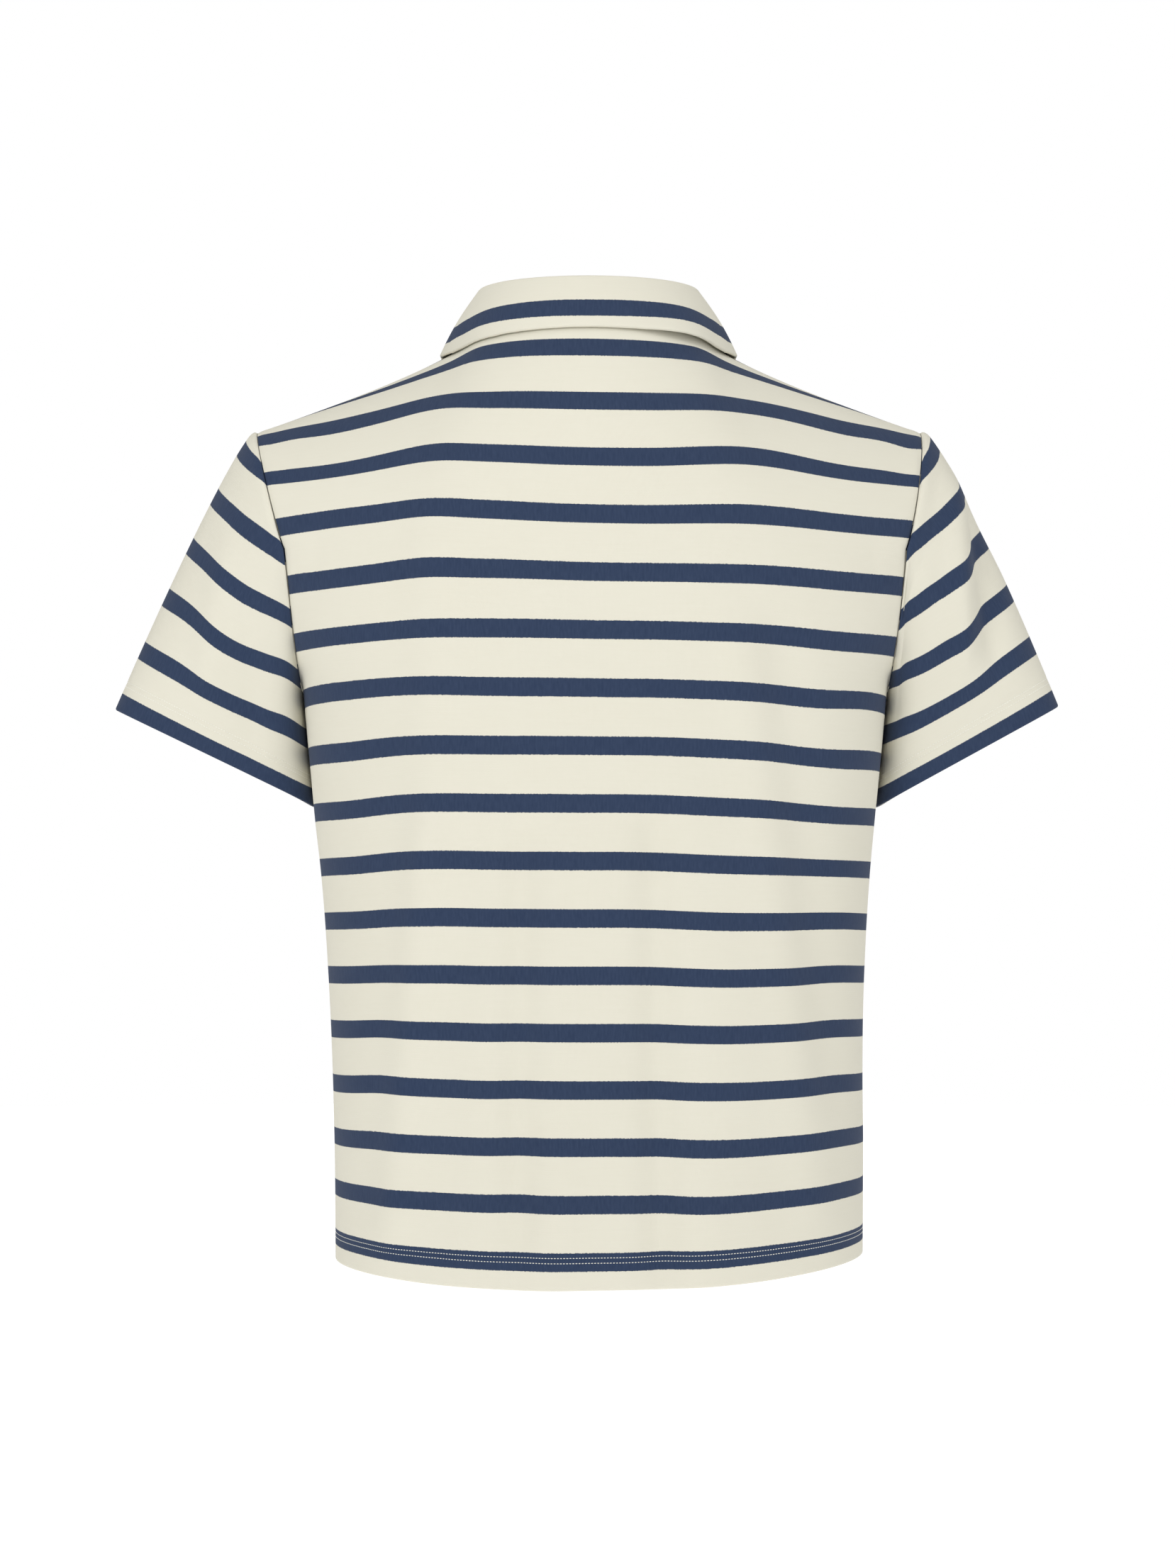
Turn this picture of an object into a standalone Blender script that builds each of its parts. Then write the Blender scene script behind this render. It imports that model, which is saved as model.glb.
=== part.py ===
"""A short-sleeved polo shirt of striped cotton jersey, filled out as if worn and hollow inside.

Every piece that a maker would cut is one closed wall of cloth. The front faces -Y, the wearer's
left is +X and up is +Z. The origin is the middle of the base of the neck, level with the tops of
the shoulder seams, where the shirt hangs from its wearer. Sizes are in millimetres up to the point
where a mesh is made.
"""
from math import asin, cos, degrees, pi, radians, sin

import bpy
import numpy as np
from mathutils import Vector
from mathutils.bvhtree import BVHTree

MM = 0.001

# Cloth
JERSEY = 1.5             # thickness of the body and sleeve cloth
HEM_CLOTH = 2.6          # the same cloth where it is turned up and stitched
HEM_TURN = 20.0          # width of the turned hem
HEM_STEP = 1.5           # height over which the cloth thins again above the turned hem
COLLAR_CLOTH = 2.0       # the collar is two layers of jersey
SEAM_GAP = 0.3           # between two pieces that are sewn together

OUTWARD = {"back": (0.0, 1.0, 0.0), "front": (0.0, -1.0, 0.0)}

# Body, seen from above, is a rounded oblong with its side seams at SIDE_Y
SIDE_Y = -5.0
ROUNDNESS = 1 / 1.2      # 1 is an ellipse, less is squarer
HEM_Z = -549.0           # hem at the side seams
HEM_DROP = 9.6           # how much lower it hangs at the middle of the back
HEM_DROP_FADES = 120.0   # height over which the stripes above level out
UNDERARM_Z = -205.0
BLADE_Z = -125.0         # widest point of the armhole
TIP_Z = -46.3            # outer end of the shoulder seam
BODY_RINGS = (
    # height, half width, shift to the wearer's left, depth of back, depth of front
    (-560.0, 161.2, -6.5, 105.0, -116.0),
    (-480.0, 161.7, -6.3, 106.0, -118.0),
    (-389.0, 163.4, -4.9, 107.5, -120.5),
    (-311.0, 168.3, -4.2, 109.5, -121.5),
    (-285.0, 171.0, -3.9, 110.0, -122.0),
    (-258.0, 173.6, -4.0, 110.8, -121.8),
    (-205.0, 178.5, -4.0, 112.0, -121.0),
    (-125.0, 184.0, -4.0, 112.0, -112.0),
    (-80.0, 190.0, -2.3, 112.0, -112.0),
    (-45.0, 202.0, 0.0, 112.0, -112.0),
)

# Armhole
ARMHOLE_BACK = 59.5      # how far the armhole reaches behind the shoulder seam
ARMHOLE_FRONT = 55.5
BLADE_X = 184.0
UNDERARM_X = 178.5
SHOULDER_X = 202.0
SHOULDER_CURVE = 0.85    # how the armhole leans out towards the shoulder tip

# Shoulder seam and neckline
NECK_X = 75.0            # top of the shoulder seam
NECK_Y = 8.0
NECK_Z = 7.0
NECK_BACK = 80.0         # depth of the neckline behind the seam
NECK_FRONT = 64.0        # depth of the neckline in front of it
NECK_DROP = 69.0         # how far the front neckline drops
NECK_SCOOP = 1.4         # above 1 it leaves the shoulder gently
SHOULDER_BEND = 0.81     # below 1 the seam falls faster near the neck
SEAM_SLOPE = 74.0        # 90 would be level where a panel meets the neck end of the seam
BACK_NECK_SLOPE = 60.0
FRONT_NECK_SLOPE = 50.0
FRONT_CHEST_SLOPE = 15.0

# Columns and rows of each panel
NECK_COLUMNS = 8         # from the middle to the top of the shoulder seam
SHOULDER_COLUMNS = 7     # along the shoulder seam
BODY_ROWS = 8            # between the hem turn and the underarm
ARM_ROWS = 6             # between the underarm and the blade
TOP_ROWS = 6             # over the shoulder

# Soft folds in the panels, with the wearer's left as +X
FOLDS = (
    # panel, top x, top height, low x, low height, width, rise
    ("back", 91.0, -262.0, 118.0, -560.0, 13.0, 4.0),
    ("back", 66.0, -262.0, 86.0, -560.0, 14.0, -1.6),
    ("back", -83.0, -150.0, -138.0, -550.0, 15.0, 2.6),
    ("back", -106.0, -150.0, -150.0, -480.0, 15.0, -2.4),
    ("front", 84.0, -220.0, 104.0, -560.0, 18.0, 2.4),
    ("front", -92.0, -200.0, -112.0, -560.0, 20.0, 2.6),
)
FOLD_ENDS = 45.0         # a fold fades in and out over this height

# Sleeves
SLEEVE_COLUMNS = 28
SLEEVE_ROWS = 9
SLEEVE_LENGTH = 150.0    # about its length, to place the turn of its hem
SLEEVE_ROW_SPREAD = 1.4  # above 1 the rows are closer together at the head
SLEEVES = (
    # node, side, spring of the sleeve head out of the armhole, x and z of the hem's outer corner, then inner
    ("sleeve_left", 1, 12.3, 293.0, -214.0, 169.0, -274.0),
    ("sleeve_right", -1, 15.0, 291.0, -212.0, 178.0, -274.0),
)
SLEEVE_HEM_Y = -25.0     # the sleeve leans forward as an arm does
SLEEVE_HEM_DEPTH = 40.0
SLEEVE_HEM_TILT = 0.6    # the front of the opening is this much higher than its middle
SLEEVE_SQUARENESS = 0.65 # 1 makes the hem an ellipse, less flattens its back and front
SLEEVE_TO_BODY = 0.4
CAP_SHAPE = 0.35
CAP_SIDES = 60.0         # how much of its spring goes backwards and forwards
SLEEVE_FOLDS = (
    # node, angle round the sleeve (0 top, 90 back), its spread, from, to, rise
    ("sleeve_left", 48.0, 16.0, 0.25, 0.85, 3.0),
    ("sleeve_left", 78.0, 15.0, 0.30, 0.95, -2.6),
    ("sleeve_right", 44.0, 16.0, 0.20, 0.75, 3.0),
    ("sleeve_right", 74.0, 14.0, 0.30, 0.95, -2.6),
    ("sleeve_left", 300.0, 18.0, 0.25, 0.90, 2.5),
    ("sleeve_right", 300.0, 18.0, 0.25, 0.90, 2.5),
)

# Collar
NECK_SHARE = 0.5         # share of the collar's columns that lies behind the shoulder seam
COLLAR_END_X = 3.0       # the two ends of the collar stop this short of the middle
FOLD_X = 64.0            # the fold, above the side of the neck
FOLD_SIDE_Y = 10.0
FOLD_BACK_Y = 78.0
FOLD_BACK_Z = 32.0
FOLD_SIDE_Z = 38.6
FOLD_FRONT_Y = -49.0
FOLD_FRONT_Z = -44.0
FOLD_END_X = 4.0
FOLD_SCOOP = 1.25
FOLD_RADIUS = 2.8
STAND_LIFT = 1.0         # from the neckline to the foot of the stand
EDGE_X = 89.0            # lower edge of the turned-down collar, at the side
EDGE_SIDE_Y = 8.0
EDGE_BACK_Y = 94.0
EDGE_BACK_Z = -0.6
EDGE_SIDE_Z = -4.0
EDGE_FRONT_Y = -112.0
EDGE_SWEEP = 1.4         # how late the edge turns in towards its point
EDGE_FALL = 1.5
POINT_X = 50.0           # collar point
POINT_Z = -106.0
COLLAR_CLEAR = 3.0       # from the body to the collar's outer face
COLLAR_UNDER = 0.8       # from the body to its under side
CLEAR_ROUNDS = 6
COLLAR_BULGE = 1.6
STAND_STEPS = 4
ARC_STEPS = 4
FALL_STEPS = 7

# Placket and buttons
PLACKET_HALF = 15.0
PLACKET_LENGTH = 150.0
STRIP_CLOTH = 1.6
STRIP_OVERLAP = 1.5      # how far the upper strip covers the panel on each side
STRIP_FOOT = 6.0         # and below the foot of the opening
STRIP_COLUMNS = 4
BUTTON_DEPTHS = (22.0, 74.0, 126.0)    # below the neckline
BUTTON_RADIUS = 5.5
BUTTON_HEIGHT = 2.2
BUTTON_RIM = 1.0
BUTTON_WELL = 0.6
HOLE_RADIUS = 0.8
HOLE_SPREAD = 1.5

CREAM = (0.79, 0.77, 0.67)
SHELL = (0.85, 0.82, 0.72)


def clear_scene():
    for thing in list(bpy.data.objects):
        bpy.data.objects.remove(thing)


def cloth_material(name, colour, roughness):
    material = bpy.data.materials.new(name)
    material.use_nodes = True
    shader = material.node_tree.nodes["Principled BSDF"]
    shader.inputs["Base Color"].default_value = (*colour, 1.0)
    shader.inputs["Roughness"].default_value = roughness
    shader.inputs["Metallic"].default_value = 0.0
    return material


def smooth_value(rows, column, height):
    """Read a column of BODY_RINGS at any height, along a curve through its rows."""
    heights = [row[0] for row in rows]
    values = [row[column] for row in rows]
    height = min(max(height, heights[0]), heights[-1])
    slopes = np.gradient(values, heights)
    index = min(int(np.searchsorted(heights, height, side="right")) - 1, len(rows) - 2)
    span = heights[index + 1] - heights[index]
    t = (height - heights[index]) / span
    start = (2 * t ** 3 - 3 * t ** 2 + 1) * values[index]
    end = (3 * t ** 2 - 2 * t ** 3) * values[index + 1]
    bend = (t ** 3 - 2 * t ** 2 + t) * slopes[index] + (t ** 3 - t ** 2) * slopes[index + 1]
    return start + end + span * bend


def shift_at(height):
    return smooth_value(BODY_RINGS, 2, height)


def depth_at(panel, height):
    return smooth_value(BODY_RINGS, 3 if panel == "back" else 4, height)


def armhole_depth(panel):
    return ARMHOLE_BACK if panel == "back" else -ARMHOLE_FRONT


def armhole_point(angle, panel):
    """A point of the armhole on the wearer's left; 0 is the shoulder tip and 180 the underarm."""
    rise = cos(radians(angle))
    reach = armhole_depth(panel)
    if rise >= 0:
        x = BLADE_X + (SHOULDER_X - BLADE_X) * rise ** SHOULDER_CURVE
        y = reach * sin(radians(angle))
        z = BLADE_Z + (TIP_Z - BLADE_Z) * rise
    else:
        x = BLADE_X + (BLADE_X - UNDERARM_X) * rise
        y = reach * sin(radians(angle)) - SIDE_Y * rise
        z = BLADE_Z + (BLADE_Z - UNDERARM_Z) * rise
    return x, y, z


def ring_point(share, half_width, depth, end_angle):
    """A point of a level ring; share runs from 0 at the middle to 1 at the ring's end."""
    angle = radians(end_angle * share)
    x = half_width * sin(angle) ** ROUNDNESS
    y = SIDE_Y + (depth - SIDE_Y) * max(cos(angle), 0.0) ** ROUNDNESS
    return x, y


def ring_at_armhole(panel, height):
    """Half width and end angle of the level ring that stops at the armhole's edge."""
    rise = min(max((height - BLADE_Z) / (BLADE_Z - UNDERARM_Z), -1.0), 0.0)
    edge_x, edge_y, _ = armhole_point(180 - degrees(asin((1 - rise ** 2) ** 0.5)), panel)
    depth = depth_at(panel, height)
    end_angle = 90 - degrees(asin(((edge_y - SIDE_Y) / (depth - SIDE_Y)) ** (1 / ROUNDNESS)))
    half_width = edge_x / sin(radians(end_angle)) ** ROUNDNESS
    return half_width, end_angle, depth


def top_edge(panel, share, neck_share):
    """Neckline up to neck_share of the columns, then the shoulder seam."""
    if share < neck_share:
        turn = pi / 2 * share / neck_share
        x = NECK_X * sin(turn)
        if panel == "back":
            return x, NECK_Y + NECK_BACK * cos(turn), NECK_Z - cos(turn)
        return x, NECK_Y - NECK_FRONT * cos(turn), NECK_Z - NECK_DROP * cos(turn) ** NECK_SCOOP
    along = (share - neck_share) / (1 - neck_share)
    x = NECK_X + (SHOULDER_X - NECK_X) * along
    return x, NECK_Y * (1 - along), NECK_Z - (NECK_Z - TIP_Z) * along ** SHOULDER_BEND


def over_shoulder(panel, share, neck_share, part):
    """A point between the blade line (part 0) and the neckline or shoulder seam (part 1)."""
    half_width, end_angle, depth = ring_at_armhole(panel, BLADE_Z)
    low_x, low_y = ring_point(share, half_width, depth, end_angle)
    top_x, top_y, top_z = top_edge(panel, share, neck_share)
    to_seam = min(share / neck_share, 1.0) ** 2
    first = 0.0 if panel == "back" else FRONT_CHEST_SLOPE * (1 - share) ** 2
    last = BACK_NECK_SLOPE if panel == "back" else FRONT_NECK_SLOPE
    last += (SEAM_SLOPE - last) * to_seam
    last += (90 - last) * max(share - neck_share, 0.0) / (1 - neck_share)
    here = radians(first + (last - first) * part)
    first = radians(first)
    last = radians(last)
    rise = (sin(here) - sin(first)) / (sin(last) - sin(first))
    inward = (cos(first) - cos(here)) / (cos(first) - cos(last))
    x = low_x + (top_x - low_x) * rise ** SHOULDER_CURVE
    y = low_y + (top_y - low_y) * inward
    z = BLADE_Z + (top_z - BLADE_Z) * rise
    return x, y, z


def panel_rows():
    """Where each row of a panel lies: the zone it is in and how far through that zone."""
    first = HEM_Z + HEM_TURN + HEM_STEP
    rows = [("body", HEM_Z), ("body", HEM_Z + HEM_TURN), ("body", first)]
    for step in range(1, BODY_ROWS + 1):
        rows.append(("body", first + (UNDERARM_Z - first) * step / BODY_ROWS))
    for step in range(1, ARM_ROWS + 1):
        rows.append(("arm", step / ARM_ROWS))
    for step in range(1, TOP_ROWS + 1):
        rows.append(("top", step / TOP_ROWS))
    return rows


def body_rows():
    """Numbers of the rows below the armholes, where the two panels meet at the side seams."""
    return [number for number, (zone, _) in enumerate(panel_rows()) if zone == "body"]


def shoulder_columns(grid):
    """Numbers of the columns that end at a shoulder seam and not at the neckline."""
    middle = grid.shape[1] // 2
    return [column for column in range(grid.shape[1]) if abs(column - middle) >= NECK_COLUMNS]


def half_shares():
    """Columns from the middle to the side, and the share at which the shoulder seam starts."""
    columns = NECK_COLUMNS + SHOULDER_COLUMNS
    return [column / columns for column in range(columns + 1)], NECK_COLUMNS / columns


def panel_point(panel, share, neck_share, zone, place):
    if zone == "body":
        half_width = smooth_value(BODY_RINGS, 1, place)
        x, y = ring_point(share, half_width, depth_at(panel, place), 90.0)
        fade = max(0.0, 1 - (place - HEM_Z) / HEM_DROP_FADES) ** 2
        return x, y, place - HEM_DROP * fade * cos(pi / 2 * share) ** 2
    if zone == "arm":
        level = UNDERARM_Z + (BLADE_Z - UNDERARM_Z) * place
        edge = BLADE_Z - (BLADE_Z - UNDERARM_Z) * cos(pi / 2 * place)
        z = level + (edge - level) * share ** 2
        half_width, end_angle, depth = ring_at_armhole(panel, z)
        x, y = ring_point(share, half_width, depth, end_angle)
        return x, y, z
    return over_shoulder(panel, share, neck_share, place)


def panel_points(panel):
    """Outer face of the front or back, row by row from the hem, from the right to the left."""
    shares, neck_share = half_shares()
    grid = []
    for zone, place in panel_rows():
        half = [panel_point(panel, share, neck_share, zone, place) for share in shares]
        right = [(-x, y, z) for x, y, z in reversed(half[1:])]
        grid.append(right + half)
    grid = np.array(grid)
    shift = np.vectorize(shift_at)(grid[..., 2])
    grid[..., 0] += shift
    return grid


def face_normals(grid, outward, wrap=False):
    """Unit normals of a grid of points, turned to the side that the point `outward` is on."""
    if wrap:
        padded = np.concatenate([grid[:, -1:], grid, grid[:, :1]], axis=1)
        along = padded[:, 2:] - padded[:, :-2]
    else:
        along = np.gradient(grid, axis=1)
    up = np.gradient(grid, axis=0)
    normals = np.cross(along, up)
    normals /= np.maximum(np.linalg.norm(normals, axis=2, keepdims=True), 1e-9)
    middle = normals[grid.shape[0] // 2, grid.shape[1] // 2]
    if np.dot(middle, outward) < 0:
        normals = -normals
    return normals


def add_folds(panel, grid, normals):
    """Raise the soft folds along their lines."""
    for name, top_x, top_z, low_x, low_z, width, rise in FOLDS:
        if name != panel:
            continue
        height = grid[..., 2]
        line = low_x + (top_x - low_x) * (height - low_z) / (top_z - low_z)
        side = np.exp(-((grid[..., 0] - line) / width) ** 2)
        into = np.clip((top_z - height) / FOLD_ENDS, 0, 1) * np.clip((height - low_z) / FOLD_ENDS, 0, 1)
        grid = grid + normals * (rise * side * np.sin(into * pi / 2) ** 2)[..., None]
    return grid


def seam_normals(normals):
    """Make a panel's side and shoulder edges square to the seam, so that two panels meet flush."""
    edges = [(row, column) for row in body_rows() for column in (0, -1)]
    edges += [(-1, column) for column in shoulder_columns(normals)]
    for row, column in edges:
        normals[row, column, 1] = 0.0
        normals[row, column] /= np.linalg.norm(normals[row, column])
    return normals


def wall(name, outer, inner, material, wrap=False, keep=None):
    """Make a closed wall from two grids of points, leaving out the cells that keep says no to."""
    rows, columns = outer.shape[:2]
    cells_across = columns if wrap else columns - 1
    index = {}
    points = []

    def corner(layer, row, column):
        key = (layer, row, column % columns)
        if key not in index:
            index[key] = len(points)
            points.append(tuple((outer, inner)[layer][row, column % columns] * MM))
        return index[key]

    def kept(row, column):
        if wrap:
            column %= columns
        if not (0 <= row < rows - 1 and 0 <= column < cells_across):
            return False
        return keep is None or bool(keep[row, column])

    faces = []
    for row in range(rows - 1):
        for column in range(cells_across):
            if not kept(row, column):
                continue
            loop = [(row, column), (row, column + 1), (row + 1, column + 1), (row + 1, column)]
            faces.append([corner(0, *place) for place in loop])
            faces.append([corner(1, *place) for place in reversed(loop)])
            beyond = [(row - 1, column), (row, column + 1), (row + 1, column), (row, column - 1)]
            for side, (next_row, next_column) in enumerate(beyond):
                if kept(next_row, next_column):
                    continue
                first, second = loop[side], loop[(side + 1) % 4]
                faces.append([corner(0, *second), corner(0, *first), corner(1, *first), corner(1, *second)])
    return finish(name, points, faces, material)


def finish(name, points, faces, material):
    """Turn points and faces into an object whose faces point out and are smooth but for its rims."""
    mesh = bpy.data.meshes.new(name)
    mesh.from_pydata(points, [], faces)
    thing = bpy.data.objects.new(name, mesh)
    bpy.context.scene.collection.objects.link(thing)
    if signed_volume(mesh) < 0:
        mesh.flip_normals()
    mesh.materials.append(material)
    mesh.shade_smooth()
    mesh.set_sharp_from_angle(angle=radians(50))
    return thing


def signed_volume(mesh):
    total = 0.0
    for face in mesh.polygons:
        corners = [mesh.vertices[index].co for index in face.vertices]
        for second, third in zip(corners[1:], corners[2:]):
            total += corners[0].dot(second.cross(third)) / 6
    return total


def hem_thickness(rows_in_hem, rows, columns):
    thickness = np.full((rows, columns, 1), JERSEY)
    thickness[:rows_in_hem] = HEM_CLOTH
    return thickness


def make_panel(panel, material):
    """One body panel. Returns its outer face before it is trimmed for the seams."""
    outward = OUTWARD[panel]
    grid = panel_points(panel)
    grid = add_folds(panel, grid, face_normals(grid, outward))
    normals = seam_normals(face_normals(grid, outward))
    keep = None
    if panel == "front":
        keep = cut_for_placket(grid)
    trimmed = grid.copy()
    half_gap = SEAM_GAP / 2 * outward[1]
    for column in (0, -1):
        trimmed[body_rows(), column, 1] += half_gap
    trimmed[-1, shoulder_columns(grid), 1] += half_gap
    thickness = hem_thickness(2, *grid.shape[:2])
    wall(panel, trimmed, trimmed - normals * thickness, material, keep=keep)
    return grid


def placket_rows(grid):
    """Rows of the front panel that the placket opening cuts, from its foot to the neckline."""
    middle = grid.shape[1] // 2
    foot = grid[-1, middle, 2] - PLACKET_LENGTH
    return int(np.argmin(np.abs(grid[:, middle, 2] - foot))), foot


def cut_for_placket(grid):
    """Bring the columns beside the middle to the placket's edges and drop the cells between."""
    middle = grid.shape[1] // 2
    first, foot = placket_rows(grid)
    edge = PLACKET_HALF + SEAM_GAP
    for side in (-1, 1):
        grid[first:, middle + side, 0] = side * edge
    for column in (middle - 1, middle, middle + 1):
        grid[first, column, 2] = foot
    keep = np.ones((grid.shape[0] - 1, grid.shape[1] - 1), dtype=bool)
    keep[first:, middle - 1:middle + 1] = False
    return keep


def outer_surface(grids):
    """Both panels' outer faces as one searchable surface, its normals pointing out."""
    points = []
    faces = []
    for panel, grid in grids.items():
        start = len(points)
        rows, columns = grid.shape[:2]
        points += [Vector(point) for point in grid.reshape(-1, 3)]
        for row in range(rows - 1):
            for column in range(columns - 1):
                corner = start + row * columns + column
                loop = [corner, corner + 1, corner + 1 + columns, corner + columns]
                faces.append(loop if panel == "front" else loop[::-1])
    return BVHTree.FromPolygons(points, faces)


def clear_of(surface, point, gap, rests=False):
    """Move a point out to a gap from the surface, or also in to it where the cloth rests there."""
    point = Vector(point)
    place, normal, _, _ = surface.find_nearest(point)
    if rests or (point - place).dot(normal) < gap:
        return place + normal * gap
    return point


def make_sleeve(name, side, head_rise, outer_x, outer_z, inner_x, inner_z, body_grids, material):
    """A tube from the armhole to the sleeve hem, with a raised head."""
    angles = [360.0 * column / SLEEVE_COLUMNS for column in range(SLEEVE_COLUMNS)]
    axis = np.array([(outer_x - inner_x) / 2, 0.0, (outer_z - inner_z) / 2])
    middle = np.array([(outer_x + inner_x) / 2, SLEEVE_HEM_Y, (outer_z + inner_z) / 2])
    parts = sleeve_parts()
    grid = np.zeros((len(parts), SLEEVE_COLUMNS, 3))
    for column, angle in enumerate(angles):
        turn = radians(angle)
        panel = "back" if angle <= 180 else "front"
        x, y, z = armhole_point(angle if angle <= 180 else 360 - angle, panel)
        start = np.array([x + SLEEVE_TO_BODY + side * shift_at(z), y, z])
        across = np.array([0.0, SLEEVE_HEM_DEPTH, -SLEEVE_HEM_TILT]) * squared(sin(turn))
        run = middle + axis * squared(cos(turn)) + across - start
        outward = np.array([-run[2] * cos(turn), CAP_SIDES * sin(turn), run[0] * cos(turn)])
        outward /= max(np.linalg.norm(outward), 1e-9)
        lift = head_rise * (0.5 + 0.5 * cos(turn))
        for row, part in enumerate(parts):
            rise = lift * part ** CAP_SHAPE * (1 - part)
            grid[row, column] = start + run * part + outward * rise
    normals = face_normals(grid, (-1, 0, 0), wrap=True)
    grid = add_sleeve_folds(name, grid, normals, angles, parts)
    inward = -normals
    body_edge = armhole_inward(body_grids, angles, side)
    inward[0, :, 0] = np.maximum(inward[0, :, 0], body_edge)
    inward[0] /= np.linalg.norm(inward[0], axis=1, keepdims=True)
    thickness = np.full(grid.shape[:2] + (1,), JERSEY)
    thickness[-2:] = HEM_CLOTH
    inner = grid + inward * thickness
    grid[..., 0] *= side
    inner[..., 0] *= side
    return wall(name, grid, inner, material, wrap=True)


def squared(value):
    """Push a sine or cosine out towards a rounded square."""
    return abs(value) ** SLEEVE_SQUARENESS * (1 if value > 0 else -1)


def sleeve_parts():
    """How far down the sleeve each row lies, closer together at the head."""
    turn = 1 - HEM_TURN / SLEEVE_LENGTH
    rows = [turn * (row / SLEEVE_ROWS) ** SLEEVE_ROW_SPREAD for row in range(SLEEVE_ROWS + 1)]
    return rows + [turn + HEM_STEP / SLEEVE_LENGTH, 1.0]


def add_sleeve_folds(name, grid, normals, angles, parts):
    for node, angle, spread, start, end, rise in SLEEVE_FOLDS:
        if node != name:
            continue
        for row, part in enumerate(parts):
            if not start < part < end:
                continue
            fade = sin(pi * (part - start) / (end - start))
            for column, here in enumerate(angles):
                away = (here - angle + 180) % 360 - 180
                grid[row, column] += normals[row, column] * rise * fade * np.exp(-(away / spread) ** 2)
    return grid


def armhole_inward(body_grids, angles, side):
    """Sideways part of each panel's inward direction at the armhole, for the sleeve to follow."""
    column = -1 if side > 0 else 0
    first = len(body_rows()) - 1
    from_tip = np.linspace(0.0, 180.0, len(panel_rows()) - first)
    inward = {}
    for panel, grid in body_grids.items():
        normals = face_normals(grid, OUTWARD[panel])
        inward[panel] = -side * normals[first:, column, 0][::-1]
    result = []
    for angle in angles:
        panel = "back" if angle <= 180 else "front"
        result.append(np.interp(min(angle, 360 - angle), from_tip, inward[panel]))
    return np.array(result)


def neckline(grids):
    """Seam points, and the panels' upward and outward directions there, from back to front."""
    places = []
    for panel, order in (("back", range(NECK_COLUMNS + 1)), ("front", range(NECK_COLUMNS - 1, -1, -1))):
        grid = grids[panel]
        normals = face_normals(grid, OUTWARD[panel])
        middle = grid.shape[1] // 2
        for column in order:
            edge = grid[-1, middle + column]
            along = edge - grid[-1, middle + column - 1]
            upward = edge - grid[-2, middle + column]
            upward -= along * np.dot(upward, along) / np.dot(along, along)
            places.append((edge, upward / np.linalg.norm(upward), normals[-1, middle + column]))
    return places


def fold_point(half):
    if half <= NECK_SHARE:
        turn = pi / 2 * half / NECK_SHARE
        drop = (FOLD_SIDE_Z - FOLD_BACK_Z) * cos(turn)
        y = FOLD_SIDE_Y + (FOLD_BACK_Y - FOLD_SIDE_Y) * cos(turn)
        return np.array([FOLD_X * sin(turn), y, FOLD_SIDE_Z - drop])
    turn = pi / 2 * (1 - (half - NECK_SHARE) / (1 - NECK_SHARE))
    x = FOLD_END_X + (FOLD_X - FOLD_END_X) * sin(turn)
    drop = (FOLD_SIDE_Z - FOLD_FRONT_Z) * cos(turn) ** FOLD_SCOOP
    return np.array([x, FOLD_SIDE_Y + (FOLD_FRONT_Y - FOLD_SIDE_Y) * cos(turn), FOLD_SIDE_Z - drop])


def edge_point(half):
    """Lower edge of the turned-down collar, out to its point."""
    if half <= NECK_SHARE:
        turn = pi / 2 * half / NECK_SHARE
        drop = (EDGE_BACK_Z - EDGE_SIDE_Z) * (1 - cos(turn))
        y = EDGE_SIDE_Y + (EDGE_BACK_Y - EDGE_SIDE_Y) * cos(turn)
        return np.array([EDGE_X * sin(turn), y, EDGE_BACK_Z - drop])
    along = (half - NECK_SHARE) / (1 - NECK_SHARE)
    x = EDGE_X + (POINT_X - EDGE_X) * along ** EDGE_SWEEP
    z = EDGE_SIDE_Z + (POINT_Z - EDGE_SIDE_Z) * along ** EDGE_FALL
    return np.array([x, EDGE_SIDE_Y + (EDGE_FRONT_Y - EDGE_SIDE_Y) * sin(pi / 2 * along), z])


def collar_section(half, place, surface):
    """Visible face of the collar at one column: up the stand, over the fold and down to the edge."""
    seam, onward, outward = place
    seam = np.array([max(seam[0], COLLAR_END_X * half ** 4), seam[1], seam[2]])
    fold = fold_point(half)
    edge = edge_point(half)
    step = 0.01
    run = fold_point(min(half + step, 1.0)) - fold_point(max(half - step, 0.0))
    if half < step:
        run = np.array([1.0, 0.0, 0.0])
    run /= np.linalg.norm(run)
    up = fold - (seam + edge) / 2
    up -= run * np.dot(up, run)
    up /= np.linalg.norm(up)
    out = np.cross(run, up)
    if np.dot(out, edge - seam) < 0:
        out = -out
    centre = fold - up * FOLD_RADIUS
    foot = seam + onward * STAND_LIFT - outward * COLLAR_CLOTH
    points = []
    for stage in range(STAND_STEPS):
        points.append(foot + (centre - out * FOLD_RADIUS - foot) * stage / STAND_STEPS)
    for stage in range(ARC_STEPS + 1):
        angle = pi * stage / ARC_STEPS
        points.append(centre - out * FOLD_RADIUS * cos(angle) + up * FOLD_RADIUS * sin(angle))
    start = points[-1]
    edge = np.array(clear_of(surface, edge, COLLAR_CLEAR, rests=half <= NECK_SHARE))
    for stage in range(1, FALL_STEPS + 1):
        share = stage / FALL_STEPS
        point = start + (edge - start) * share + out * COLLAR_BULGE * sin(pi * share)
        points.append(np.array(clear_of(surface, point, COLLAR_CLEAR)))
    return points


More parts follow.
